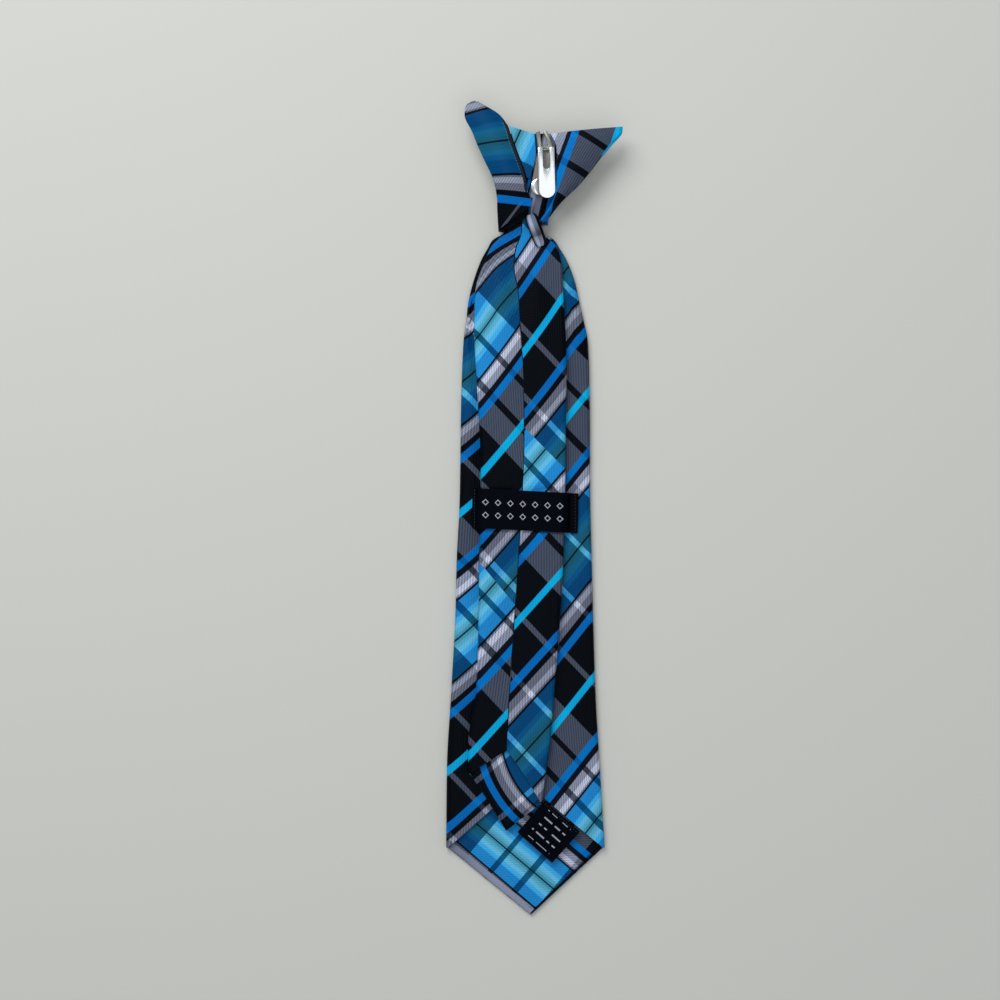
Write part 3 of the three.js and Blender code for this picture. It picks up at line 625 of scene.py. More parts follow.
grid, side, layer, kinds = pointed(
    tail_at, TAIL["wall"], TAIL["slit"], (32, 8, 26), TAIL["tip"] + TAIL["right_rise"],
    tail_foot, BLADE["length"], 290)
grid[..., 2] += tail_relief(grid, side, layer)
weave = carried(grid, side, layer, kinds, tail_left, tail_right, tail_at, TAIL["wall"])
below = carried(grid, side, layer, kinds, tail_left_below, tail_right_below, tail_at,
                TAIL["wall"])
distance = seam_distance(grid[..., 0], grid[..., 1])
inner = np.where((layer == 0)[:, None], tail_tip_place(grid[..., 0], grid[..., 1]), below)
tail_blade = cloth("tail_cloth", grid, TAIL["wall"], {
    "weave": weave, "weave_below": (inner, below), "seam": joined(distance, distance)})

# %% [markdown]
# ## The linings at the two tips
#
# The opening at each tip shows a lining of the same plaid, set a few millimetres inside the edge.
# Its stripes run along the cut edge on the wide tip and bend on the tail's.

# %% Tippings
def tipping(name, at, wall, margins, tip, rises, reach, place, counts=(60, 70)):
    """A lining that lies inside a folded blade, with a margin along each cut edge"""
    rows, cols = counts
    across = np.linspace(-1, 1, cols)[None, :]
    corner = np.where(across < 0, rises[0], rises[1])
    margin = lerp(margins[0], margins[1], ease((across + 0.12) / 0.24))
    foot = tip + margin + corner * np.abs(across)
    y = lerp(foot, tip + reach, np.linspace(0, 1, rows)[:, None])
    here = at(y)
    inset = wall / 2 + here["rise"] / 2 + GAP
    edge = np.where(across < 0, here["left"] + inset, here["right"] - inset)
    x = lerp(here["point"], edge, np.abs(across))
    z = here["low"] + wall / 2 + GAP + TIPPING["wall"] / 2
    return cloth(name, joined(x, y, z), TIPPING["wall"], {"weave": place(x, y)})


blade_tipping = tipping("blade_lining", blade_at, BLADE["wall"], (4.6, 1.5), 0,
                        (BLADE["drop"], BLADE["drop"]), BLADE["drop"] + TIPPING["reach"], tip_place)
tail_tipping = tipping("tail_lining", tail_at, TAIL["wall"], (2.0, 1.6), TAIL["tip"],
                       (TAIL["left_rise"], TAIL["right_rise"]), TIPPING["tail_reach"],
                       tail_tip_place)

# %% Hems at the wide tip
HEM = dict(wall=0.42, level=1.78, curl=0.5, sink=0.3, inset=0.35, corner=0.9)


def hem(name, side, width, place):
    """The blade's own cloth, turned in along one edge of its point"""
    rows, cols = 90, 12
    at = blade_at(np.array(BLADE["drop"]))
    point = float(at["point"])
    corner = float(at["left"] if side < 0 else at["right"]) - side * HEM["corner"]
    t = np.linspace(0.015, 0.985, rows)[:, None]
    run = np.array([corner - point, BLADE["drop"]])
    run = run / np.linalg.norm(run)
    inward = np.array([-run[1], run[0]]) * side
    across = np.linspace(0, 1, cols)[None, :]
    curled = 1 - np.sqrt(1 - np.clip(1 - across * width / HEM["curl"], 0, 1) ** 2)
    depth = HEM["inset"] + across * (width - HEM["inset"])
    x = lerp(point, corner, t) + inward[0] * depth
    y = BLADE["drop"] * t + inward[1] * depth
    z = HEM["level"] - HEM["sink"] * curled + 0.08 * wander(x, y, 3, 5)
    return cloth(name, joined(x, y, z), HEM["wall"], {"weave": place(x, y)})


def black_place(x, y):
    return joined(30, 65 + 0.02 * y)


def lavender_place(x, y):
    return joined(17.6 + 0.02 * x, 6)


hem_left = hem("hem_left", -1, 3.1, lavender_place)
hem_right = hem("hem_right", 1, 1.0, black_place)

# %% [markdown]
# ## The knot, its wings and the small folds
#
# The knot is a wound sleeve. On the back lie two wings, each one a cloth folded over at its outer
# edge and puffed by its padding, and between them the turned-in cloth and a small roll at the neck.

# %% Knot
def knot_point(x, y, z):
    return joined(KNOT["width"] * x, KNOT["base"] + KNOT["height"] * y, z)


def edges(rows, *names):
    """Lines of points along the named edges of a table of the knot's shares, in mm, at z = 0"""
    return [knot_point(rows[name + "_x"], rows[name + "_y"], 0.0) for name in names]


def knot_depth(y):
    return KNOT["depth"] * column(knot_rows, "depth", (y - KNOT["base"]) / KNOT["height"])


def knot_place(x, y, front):
    """Black and blue on the back of the knot, and the slanting plaid on its front"""
    blue = 10.6 + (y - 309) * 0.24
    warp = np.where(x < 2.2, 30, 24.2 + (x - blue))
    weft = np.clip(62 + 0.4 * (y - 300), 58, 73)
    return joined(np.where(front, 0.75 * x + 0.66 * (y - 300) + 8, warp),
                  np.where(front, 0.75 * (y - 300) - 0.66 * x + 62, weft))


sides, rows = 96, 60
place = np.linspace(0, 1, rows)[:, None]
angle = -2 * math.pi * (np.arange(sides) + 0.5) / sides
left, right, depth = [KNOT[size] * column(knot_rows, name, place) for size, name in
                      (("width", "left"), ("width", "right"), ("depth", "depth"))]
bent = [np.sign(f(angle)) * np.abs(f(angle)) ** 0.5 for f in (np.cos, np.sin)]
x = (left + right) / 2 + (right - left - KNOT["wall"]) / 2 * bent[0]
y = KNOT["base"] + KNOT["height"] * place + 0 * x
z = depth / 2 + (depth - KNOT["wall"]) / 2 * bent[1]
# On the back the lower edge is drawn up into an arch, where the tail comes out
arch = 6.0 * np.exp(-((x - 1.5) / 6.5) ** 2) * ease(bent[1] * 1.5)
# and on the right the edge is drawn up beside the blades
y = y + (arch + 3.0 * ease((x - 4) / 5)) * (1 - place) ** 2
knot = cloth("knot_cloth", joined(x, y, z), KNOT["wall"], {
    "weave": knot_place(x, y, bent[1] < -0.6), "threads": joined(x, y) * 1.4}, True)

# %% Wings
def wing(name, rows, place, droop, rounding=0, layer_steps=22, roll_steps=10):
    """A folded wing. Its foot droops round the side of the knot by some mm, and its last rows are
    drawn together to round its tip off."""
    rows = finer(rows, WING["steps"])
    radius = (WING["roll"] + WING["wall"]) / 2
    inner, outer = edges(rows, "inner", "outer")
    if rounding:
        last = np.clip((np.arange(len(inner)) - len(inner) + rounding) / (rounding - 1), 0, 1)
        keep = np.sqrt(1 - 0.9 * last ** 2)[:, None]
        middle = (inner + outer) / 2
        inner, outer = lerp(middle, inner, keep), lerp(middle, outer, keep)
    across = outer - inner
    across = across / np.linalg.norm(across, axis=1, keepdims=True)
    base = KNOT["depth"] * rows["base"] + WING["wall"] / 2
    roll = outer - across * (radius + WING["wall"] / 2)
    shares = np.arange(layer_steps) / layer_steps
    angles = math.pi * (np.arange(roll_steps + 1) / roll_steps - 0.5)
    layer = [lerp(inner, roll, share) for share in shares]
    bend = [roll + across * radius * math.cos(angle) for angle in angles]
    grid = np.stack(layer + bend + layer[::-1], 1)
    heights = [base for _ in shares]
    heights += [base + radius + radius * math.sin(angle) for angle in angles]
    heights += [base + 2 * radius + WING["puff"] * rows["puff"] * math.sin(math.pi * share)
                for share in shares[::-1]]
    grid[..., 2] = joined(*heights)
    reach = np.concatenate([shares, np.ones(len(angles)), shares[::-1]])
    foot = np.clip(1 - np.arange(len(grid)) / WING["foot_rows"], 0, 1)[:, None]
    grid[..., 2] -= droop * foot ** 2 * reach ** 2
    x, y = grid[..., 0], grid[..., 1]
    threads = joined(1.15 * y - 0.2 * x, 1.15 * x + 0.3 * y)
    return cloth(name, grid, WING["wall"], {"weave": place(x, y), "threads": threads})


def left_wing_place(x, y):
    """Stripes across the wing, tilted a little more towards its tip"""
    middle = np.interp(y, [302, 315, 323, 337, 351], [-8, -5.8, -9.1, -13.5, -20.8])
    slope = np.interp(y, [311, 315, 323, 337, 351], [-0.12, -0.13, 0, 0.115, 0.236])
    level = y - slope * (x - middle)
    warp = stretch(level, np.array([300, 312.25, 314.9, 323.3, 337.35, 350.85]),
                   np.array([36, 24.2, 21.6, 13.3, 0, -13.3]))
    weft_level = y - 1.3 * (x + 6.75) - 305.2
    # From y 312 on, the wing takes the dark-weft shades all over: towards its tip, where the weft
    # is light, this darkness is painted shade.
    weft = np.where(y < 312, 75.6 + weft_level * 1.2, OVER_DARK_WEFT)
    return joined(warp, weft)


def right_wing_place(x, y):
    warp = 0.939 * x - 0.344 * y + 121.1
    warp = warp - 1.1 * np.exp(-((warp - 20.2) / 1.6) ** 2)
    return joined(warp, 317.8 - 0.514 * x - 0.857 * y)


left_wing = wing("left_wing_cloth", left_wing_rows, left_wing_place, droop=2.0, rounding=10)
right_wing = wing("right_wing_cloth", right_wing_rows, right_wing_place, droop=2.8)

# %% Sewn edge of the left wing
def tube(line, wide, high, sides, level=1):
    """Rings of points round a line, and their angles. wide and high are half sizes for each point
    of the line, and with level 0 the rings stand upright."""
    along = np.gradient(line, axis=0) * [1, 1, level]
    along /= np.linalg.norm(along, axis=1, keepdims=True)
    across = np.cross([0, 0, 1.0], along)
    angle = 2 * math.pi * np.arange(sides) / sides
    return line[:, None] + (across[:, None] * (wide[:, None] * np.cos(angle))[..., None]
                            + [0, 0, 1.0] * (high[:, None] * np.sin(angle))[..., None]), angle


def one_place(grid, warp, weft):
    """The same place in the weave all over a grid"""
    return joined(warp + 0 * grid[..., 0], weft)


def along_wing(rows, reach, lift):
    """A line at a distance in from the inner edge of a wing, on the top of its cloth"""
    inner, outer = edges(rows, "inner", "outer")
    length = np.linalg.norm(outer - inner, axis=1)
    line = inner + (outer - inner) / length[:, None] * reach
    line[:, 2] = (KNOT["depth"] * rows["base"] + WING["roll"] + 2 * WING["wall"] + lift
                  + WING["puff"] * rows["puff"] * np.sin(np.pi * reach / length))
    return line


left_wing_finer = finer(left_wing_rows, WING["steps"])
rows = {name: value[18:-14] for name, value in left_wing_finer.items()}
line = along_wing(rows, 0.45, 0.0)
size = np.minimum(1, np.minimum(np.arange(len(line)), np.arange(len(line))[::-1]) / 6 + 0.2)
grid, _ = tube(line, 0.62 * size, 0.42 * size, 12)
left_edge = cloth("left_wing_edge", grid[:, ::-1], 0.2, {
    "weave": one_place(grid, *BLACK_LINE), "threads": grid[:, ::-1, :2] * 1.7}, True)

# %% Cyan edge of the right wing
rows = {name: value[52:] for name, value in finer(right_wing_rows, WING["steps"]).items()}
inner, outer = edges(rows, "inner", "outer")
across = (outer - inner) / np.linalg.norm(outer - inner, axis=1, keepdims=True)
radius = (WING["roll"] + WING["wall"]) / 2
base = KNOT["depth"] * rows["base"] + WING["wall"] / 2 + radius
centre = outer - across * (radius + WING["wall"] / 2)
share = np.linspace(0, 1, len(base))
points = []
for step in range(19):
    angle = np.radians(lerp(-70, 60 + 70 * ease(share), step / 18))
    reach = radius + WING["wall"] / 2 + 0.2 + 0.35 * share * (1 + np.sin(angle)) / 2
    point = centre + across * (reach * np.cos(angle))[:, None]
    point[:, 2] = base + reach * np.sin(angle)
    points.append(point)
grid = np.stack(points, 1)
wing_edge = cloth("right_wing_edge", grid, 0.3, {
    "weave": one_place(grid, *CYAN_LINE), "threads": grid[..., :2].copy()})

# %% Turned-in cloth and the roll at the neck
def inner_fold_place(x, y):
    weft = np.where(y + 0.5 * x > 329, OVER_LIGHT_WEFT, OVER_DARK_WEFT)
    return joined(0.91 * x - 0.414 * y + 143.7, weft)


rows = finer(inner_fold_rows, WING["steps"])
left, right = edges(rows, "left", "right")
grid = lerp(left[:, None], right[:, None], np.linspace(0, 1, 16)[None, :, None])
grid[..., 2] = KNOT["depth"] + GAP + 0.5
inner_fold = cloth("inner_fold_cloth", grid, 1.0, {
    "weave": inner_fold_place(grid[..., 0], grid[..., 1]), "threads": grid[..., :2].copy()})

rows = finer(neck_roll_rows, 8)
centre = knot_point(rows["x"], rows["y"], 0.0)
past = np.clip((KNOT["base"] - GAP - centre[:, 1]) / 5, 0, 1)
under = lerp(knot_depth(centre[:, 1]), tail_top(centre[:, 1]), past) + GAP
centre[:, 2] = under + rows["size"] * ROLL["thick"] / 2
ring, angle = tube(centre, (rows["size"] ** 0.5 * ROLL["puffed"] - ROLL["wall"]) / 2,
                   (rows["size"] * ROLL["thick"] - ROLL["wall"]) / 2, 24, 0)
# The roll's lower end, past the knot, takes the light-weft shades as a painted highlight. Round the
# ring the colour follows the angle, so that the grey band's dark edge stripes fall on the roll's
# two sides as painted shade and its paler stripes lie on top.
weft = np.where(centre[:, 1:2] < KNOT["base"] - 2.5, OVER_LIGHT_WEFT, OVER_DARK_WEFT)
turn = joined(17.4 + 4.3 * np.cos(angle), weft)
neck_roll = cloth("neck_roll_cloth", ring[:, ::-1], ROLL["wall"],
                  {"weave": turn[:, ::-1], "threads": ring[:, ::-1, :2] * 0.1}, True)

# %% [markdown]
# ## The two labels
#
# Both labels are black satin ribbon. The keeper is sewn down at its ends and bridges the tail. The
# care label is a short piece caught in the tail's corner.

# %% Keeper label
rows, turns, flat = 30, 12, 40
level = KEEPER["place"] + KEEPER["height"] * np.linspace(-0.5, 0.5, rows)[:, None]
at = tail_at(level)
radius = at["rise"] / 2 + TAIL["wall"] / 2
reach = radius + GAP + KEEPER["wall"] / 2
roll_height = at["low"] + at["rise"] / 2
foot_height = blade_top(level) + GAP + KEEPER["wall"] / 2
angle = np.radians(lerp(165, 90, np.linspace(0, 1, turns)))[None, :]
half_x, half_z = reach * np.cos(angle), roll_height + reach * np.sin(angle)
foot = half_x[:, :1] - (half_z[:, :1] - foot_height) / 3
ends = np.linspace(0, 1, 10)[None, :-1]
left_x, right_x = [
    np.concatenate([lerp(at[side] + sign * KEEPER[side], at[side] - sign * (radius + foot), ends),
                    at[side] - sign * (radius + half_x)], 1)
    for side, sign in (("left", -1), ("right", 1))]
side_z = np.concatenate([foot_height + 0 * ends, half_z], 1)
bridge = np.linspace(0, 1, flat)[None, 1:-1]
x = np.concatenate([left_x, lerp(left_x[:, -1:], right_x[:, -1:], bridge), right_x[:, ::-1]], 1)
z = np.concatenate([side_z, side_z[:, -1:] + 0 * bridge, side_z[:, ::-1]], 1)
y = level + math.tan(math.radians(KEEPER["turn"])) * x
keeper = cloth("keeper_ribbon", joined(x, y, z), KEEPER["wall"],
               {"ribbon": joined(x, level - KEEPER["place"])})

# %% Care label
def turned(u, v, corner, degrees):
    """x and y of points that are u and v from a corner, on axes turned by an angle"""
    turn = math.radians(degrees)
    return (corner[0] + u * math.cos(turn) - v * math.sin(turn),
            corner[1] + u * math.sin(turn) + v * math.cos(turn))


u, v = np.meshgrid(np.linspace(0, CARE["length"], 27), np.linspace(-CARE["width"], 0, 24))
corner_height = TAIL["tip"] + TAIL["right_rise"]
corner = float(tail_at(np.array(corner_height))["right"]), corner_height
x, y = turned(u + GAP, v + CARE["over"], corner, CARE["turn"])
care_level = float(blade_top(np.array(0.0))) + GAP
care_label = cloth("care_ribbon", joined(x, y, care_level + CARE["wall"] / 2), CARE["wall"],
                   {"ribbon": joined(u, v)})

# %% [markdown]
# ## Stitches
#
# A row of stitches is the same short thread again and again along a line, which is what Geometry
# Nodes do well. The tree turns a line of points into evenly spaced points, puts a small rounded
# thread on each, turns them a little unevenly as real stitches lie, and makes one plain mesh.

# %% A tree that sews along a line
def sewing_tree():
    tree = bpy.data.node_groups.new("sewing", "GeometryNodeTree")
    kinds = (("Line", "NodeSocketGeometry", None), ("Spacing", "NodeSocketFloat", 0.001),
             ("Length", "NodeSocketFloat", 0.0007), ("Thickness", "NodeSocketFloat", 0.0003),
             ("Slant", "NodeSocketFloat", 0.0), ("Thread", "NodeSocketMaterial", None))
    for name, kind, value in kinds:
        socket = tree.interface.new_socket(name, in_out="INPUT", socket_type=kind)
        if value is not None:
            socket.default_value = value
    tree.interface.new_socket("Stitches", in_out="OUTPUT", socket_type="NodeSocketGeometry")
    start = tree.nodes.new("NodeGroupInput").outputs
    end = tree.nodes.new("NodeGroupOutput").inputs

    def add(kind, inputs, **settings):
        node = tree.nodes.new(kind)
        for name, value in settings.items():
            setattr(node, name, value)
        for name, value in inputs.items():
            if isinstance(value, bpy.types.NodeSocket):
                tree.links.new(value, node.inputs[name])
            else:
                node.inputs[name].default_value = value
        return node.outputs

    line = add("GeometryNodeMeshToCurve", {"Mesh": start["Line"]})
    points = add("GeometryNodeCurveToPoints", {"Curve": line["Curve"], "Length": start["Spacing"]},
                 mode="LENGTH")
    ball = add("GeometryNodeMeshUVSphere", {"Segments": 8, "Rings": 5, "Radius": 0.5})
    size = add("ShaderNodeCombineXYZ", {"X": start["Length"], "Y": start["Thickness"],
                                        "Z": start["Thickness"]})
    along = add("FunctionNodeAlignRotationToVector", {"Vector": points["Tangent"]}, axis="X")
    threads = add("GeometryNodeInstanceOnPoints", {
        "Points": points["Points"], "Instance": ball["Mesh"], "Rotation": along["Rotation"],
        "Scale": size["Vector"]})
    uneven = add("FunctionNodeRandomValue", {"Min": -0.12, "Max": 0.12, "Seed": 4},
                 data_type="FLOAT")
    lean = add("ShaderNodeMath", {0: start["Slant"], 1: uneven[1]}, operation="ADD")
    turn = add("ShaderNodeCombineXYZ", {"Z": lean[0]})
    leaning = add("GeometryNodeRotateInstances", {"Instances": threads["Instances"],
                                                  "Rotation": turn["Vector"]})
    real = add("GeometryNodeRealizeInstances", {"Geometry": leaning["Instances"]})
    done = add("GeometryNodeSetMaterial", {"Geometry": real["Geometry"],
                                           "Material": start["Thread"]})
    tree.links.new(done["Geometry"], end["Stitches"])
    return tree


# %% Sewing
def sew(name, line, thread, **sizes):
    """Stitches along a line of points in mm. Sizes are in mm, and Slant in degrees."""
    mesh = bpy.data.meshes.new(name + "_line")
    mesh.from_pydata(((line + SHIFT) * MM).tolist(), [(i, i + 1) for i in range(len(line) - 1)], [])
    guide = placed(name + "_line", mesh)
    modifier = guide.modifiers.new("sewing", "NODES")
    modifier.node_group = SEWING
    inputs = {item.name: item.identifier for item in SEWING.interface.items_tree
              if item.in_out == "INPUT"}
    for title, value in sizes.items():
        modifier[inputs[title]] = math.radians(value) if title == "Slant" else value * MM
    modifier[inputs["Thread"]] = thread
    made = applied(guide)
    made.name = name
    bpy.data.objects.remove(guide)
    made.shade_smooth()
    print(name, "has", len(made.polygons), "faces")
    return placed(name, made)


SEWING = sewing_tree()

# %% [markdown]
# ## Finishes
#
# A shader is a small graph of nodes. Written as Python expressions it stays readable: one class
# wraps a socket, so that adding or multiplying two values adds the Math node for it.

# %% Sockets that can be added and multiplied
class Value:
    def __init__(self, finish, socket):
        self.finish, self.socket = finish, socket

    def math(self, operation, *others):
        return self.finish.node("ShaderNodeMath", {"operation": operation}, [self, *others])

    def __add__(self, other): return self.math("ADD", other)
    def __radd__(self, other): return self.math("ADD", other)
    def __mul__(self, other): return self.math("MULTIPLY", other)
    def __rmul__(self, other): return self.math("MULTIPLY", other)
    def __sub__(self, other): return self.math("SUBTRACT", other)
    def __rsub__(self, other): return (self * -1.0).math("ADD", other)
    def __truediv__(self, other): return self.math("DIVIDE", other)
    def __lt__(self, other): return self.math("LESS_THAN", other)
    def __gt__(self, other): return self.math("GREATER_THAN", other)
    def __abs__(self): return self.math("ABSOLUTE")


class Finish:
    """A material and its nodes"""
    def __init__(self, name):
        self.material = bpy.data.materials.new(name)
        self.material.use_nodes = True
        self.tree = self.material.node_tree
        self.shader = self.tree.nodes["Principled BSDF"]

    def node(self, kind, settings=None, inputs=(), output=0):
        node = self.tree.nodes.new(kind)
        for name, value in (settings or {}).items():
            if name == "stops":
                ramp = node.color_ramp
                while len(ramp.elements) > 1:
                    ramp.elements.remove(ramp.elements[0])
                for index, (place, colour) in enumerate(value):
                    stop = ramp.elements[0] if index == 0 else ramp.elements.new(place)
                    stop.position, stop.color = place, (*colour, 1)
            elif name == "interpolation":
                node.color_ramp.interpolation = value
            else:
                setattr(node, name, value)
        pairs = inputs.items() if isinstance(inputs, dict) else enumerate(inputs)
        for name, value in pairs:
            self.link(value, node.inputs[name])
        return Value(self, node.outputs[output])

    def link(self, value, socket):
        if isinstance(value, Value):
            self.tree.links.new(value.socket, socket)
        else:
            socket.default_value = value

    def mix(self, share, first, second, how="MIX"):
        return self.node("ShaderNodeMix", {"data_type": "RGBA", "blend_type": how},
                         {0: share, 6: first, 7: second}, 2)

    def noise(self, scale, detail=2.0, vector=None):
        vector = vector or self.node("ShaderNodeTexCoord", output="Object")
        return self.node("ShaderNodeTexNoise", {},
                         {"Vector": vector, "Scale": scale, "Detail": detail})

    def parts(self, vector):
        """x and y of a vector"""
        return [self.node("ShaderNodeSeparateXYZ", {}, [vector], name) for name in "XY"]

    def vector(self, x, y, z=0.0):
        return self.node("ShaderNodeCombineXYZ", {}, [x, y, z])

    def bump(self, strength, distance, height):
        return self.node("ShaderNodeBump", {},
                         {"Strength": strength, "Distance": distance, "Height": height})

    def uv(self, name):
        return self.node("ShaderNodeUVMap", {"uv_map": name})

    def set(self, **values):
        for name, value in values.items():
            self.link(value, self.shader.inputs[name.replace("_", " ")])
        return self.material


def srgb(*shade):
    """A colour as a screen shows it, 0 to 255, as the plain light that the shader counts in"""
    return tuple(c / 12.92 if c <= 0.04045 else ((c + 0.055) / 1.055) ** 2.4
                 for c in (value / 255 for value in shade))


# %% [markdown]
# ## The woven plaid
#
# The colour at a point depends on which warp stripe and which weft stripe cross there. Four colour
# ramps hold the warp stripes as they look over the light and the dark weft and over their thin
# bands, and two masks from the weft choose between them. Fine slanting ribs give the twill.

# %% Plaid
# Shares of the half repeat at which each stripe starts, from the middle of the teal zone outwards.
# The teal zone fades from one shade to the next, and every other stripe has a crisp edge.
EDGES = [0, .009, .04, .08, .13, .18, .311, .334, .352, .410, .485, .545, .622, .966]
OVER_LIGHT = [(4, 30, 48), (60, 134, 158), (76, 156, 184), (90, 170, 206), (58, 158, 212),
              (28, 122, 186), (2, 12, 24), (112, 118, 136), (172, 178, 198), (124, 130, 150),
              (8, 12, 24), (0, 104, 176), (60, 68, 84), (4, 158, 206)]
OVER_BAND = [(0, 16, 32), (6, 70, 96), (8, 78, 108), (10, 84, 120), (4, 78, 120),
             (0, 64, 110), (1, 6, 13), (44, 49, 62), (72, 78, 94), (44, 49, 62),
             (3, 6, 13), (0, 84, 150), (3, 6, 13), (4, 142, 190)]
OVER_DARK = [(0, 14, 28), (20, 78, 98), (16, 82, 110), (14, 86, 122), (4, 74, 118),
             (0, 60, 104), (1, 5, 11), (84, 89, 105), (126, 132, 150), (88, 93, 109),
             (1, 4, 10), (0, 92, 164), (1, 4, 10), (4, 150, 200)]
OVER_LINE = [(4, 30, 48), (56, 138, 164), (70, 152, 182), (80, 162, 198), (62, 148, 200),
             (44, 130, 184), (4, 16, 30), (124, 131, 148), (180, 187, 205), (130, 137, 154),
             (34, 38, 50), (0, 104, 176), (62, 69, 84), (8, 154, 204)]


def stops(shades):
    """Ramp stops with a crisp change at each edge, but a softer one inside the teal zone"""
    ramp = [(0, srgb(*shades[0]))]
    for index in range(1, len(shades)):
        soft = 0.008 if index in (2, 3, 4, 5) else 0.002
        ramp.append((EDGES[index] - soft, srgb(*shades[index - 1])))
        ramp.append((EDGES[index] + soft, srgb(*shades[index])))
    return ramp


def code(edges):
    """Stops of a mask that changes between 0 and 1 at each edge, starting at the first value"""
    return [(place, (value,) * 3) for place, value in edges]


RIB, DOT = 1.6, 1.5
ZONE = code([(0, 1), (.361, 0)])
CROSS = code([(0, 0), (.102, 1), (.128, 0), (.233, 1), (.259, 0),
              (.508, 1), (.528, 0), (.675, 1), (.695, 0), (.840, 1), (.860, 0)])


def plaid(name, seam=False):
    finish = Finish(name)
    place = finish.uv("weave")
    if seam:
        above, _ = finish.parts(finish.uv("seam"))
        place = finish.node("ShaderNodeMix", {"data_type": "VECTOR"},
                            {0: above > 0.0, 4: finish.uv("weave_below"), 5: place}, 1)
    warp, weft = finish.parts(place)
    stripe = warp.math("PINGPONG", HALF) / HALF
    zone_place = (weft / REPEAT).math("FRACT")

    def ramp(shades, value, kind="LINEAR"):
        return finish.node("ShaderNodeValToRGB", {"stops": shades, "interpolation": kind}, [value])

    zone, cross = ramp(ZONE, zone_place, "CONSTANT"), ramp(CROSS, zone_place, "CONSTANT")
    dark = finish.mix(cross, ramp(stops(OVER_DARK), stripe), ramp(stops(OVER_LINE), stripe))
    light = finish.mix(cross, ramp(stops(OVER_LIGHT), stripe), ramp(stops(OVER_BAND), stripe))
    colour = finish.mix(zone, dark, light)
    threads, picks = finish.parts(finish.uv("threads"))
    rib = ((threads - picks) * (2 * math.pi / RIB)).math("SINE")
    dots = ((threads + picks) * (2 * math.pi / DOT)).math("SINE")
    # Ribs show most on the grey and white stripes, between the teal zone and the cyan line
    blue = abs(stripe - (EDGES[11] + EDGES[12]) / 2) < (EDGES[12] - EDGES[11]) / 2
    grey = (stripe > EDGES[6]) * (stripe < EDGES[13]) * (1 - blue)
    streak = finish.noise(1.0, 3.0, finish.vector(threads * 1.7, picks * 0.06))
    patch = finish.noise(45.0, 3.0)
    shade = rib * (dots * 0.24 + 0.29) * (grey * 0.75 + 0.25) + streak * 0.4 + patch * 0.24 + 0.68
    colour = finish.mix(1.0, colour, finish.vector(shade, shade, shade), "MULTIPLY")
    return finish.set(Base_Color=colour, Roughness=zone * 0.06 + 0.40 + patch * 0.1,
                      Normal=finish.bump(0.35, 0.0002, rib * 0.5 + dots * 0.2 + patch),
                      Specular_IOR_Level=0.04)


plaid_satin = plaid("plaid_satin")
plaid_seamed = plaid("plaid_satin_seamed", True)

# %% Black ribbon
def ribbon(name, care):
    finish = Finish(name)
    u, v = finish.parts(finish.uv("ribbon"))
    rib = (v * (2 * math.pi / 0.55)).math("SINE")
    if care:
        row = (v / 3.6).math("FRACT")
        spot = finish.vector((u / 1.5).math("FLOOR"), (v / 3.6).math("FLOOR"))
        cell = finish.node("ShaderNodeTexWhiteNoise", {"noise_dimensions": "2D"}, {"Vector": spot})
        inside = (abs(u - 10.2) < 6.5) * (abs(v + 9.0) < 7.2)
        mark = (abs(row - 0.5) < 0.09) * (cell > 0.3) * inside * 0.75
    else:
        along = (((u + 1.0) / 5.4 + 0.5).math("FRACT") - 0.5) * 5.4
        diamond = abs(along) + abs(abs(v) - 2.8)
        mark = (diamond < 1.45) * (diamond > 0.95) * (abs(u + 1.0) < 18.5) * 0.8
    thread = finish.noise(900.0)
    colour = finish.mix(mark * 0.85, (*srgb(2, 4, 11), 1), (*srgb(176, 184, 196), 1))
    return finish.set(Base_Color=colour, Roughness=0.4 + thread * 0.15, Specular_IOR_Level=0.02,
                      Normal=finish.bump(0.4, 0.00012, rib * 0.5 + mark * 0.6 + thread * 0.4))


label_satin = ribbon("label_satin", False)
care_satin = ribbon("care_label_satin", True)

# %% Plated clip metal
def plated(name, shade, rough):
    finish = Finish(name)
    scuff = finish.noise(700.0, 4.0)
    cloud = finish.noise(160.0, 2.0)
    colour = finish.mix(cloud * 0.5, (*shade, 1), (*[c * 0.8 for c in shade], 1))
    return finish.set(Base_Color=colour, Metallic=1.0, Roughness=rough + cloud * 0.08,
                      Normal=finish.bump(0.12, 0.0001, scuff))


chrome = plated("clip_metal", (0.72, 0.75, 0.77), 0.16)
dull_metal = plated("clip_metal_dull", (0.17, 0.17, 0.15), 0.34)

# %% [markdown]
# ## The clip
#
# Stamped metal never has a knife edge. A copy of each packed clip piece gets its loose triangles
# joined and its edges rounded a tenth of a millimetre, which is enough to catch the light. The
# lever is bright and the plate is dull, but on the side that the lever leaves open, the plate's
# round pad is dished and as bright as the lever.

# %% Rounded metal
def rounded(name, node, metal, width):
    """A copy of a packed metal piece with its edges rounded by a width in mm"""
    mesh = nodes[node].data.copy()
    mesh.name = name
    mesh.materials.clear()
    mesh.materials.append(metal)
    work = bmesh.new()
    work.from_mesh(mesh)
    bmesh.ops.remove_doubles(work, verts=work.verts, dist=1e-6)
    bmesh.ops.dissolve_limit(work, angle_limit=math.radians(1), verts=work.verts, edges=work.edges)
    work.to_mesh(mesh)
    work.free()
    piece = placed(name, mesh)
    bevel = piece.modifiers.new("rounded", "BEVEL")
    bevel.width, bevel.segments, bevel.limit_method = width * MM, 2, "ANGLE"
    bevel.angle_limit = math.radians(40)
    bevel.use_clamp_overlap = True
    made = applied(piece)
    piece.modifiers.clear()
    piece.data = made
    made.shade_smooth()
    made.set_sharp_from_angle(angle=math.radians(35))
    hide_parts(node)
    print(name, "has", len(made.polygons), "faces")
    return piece


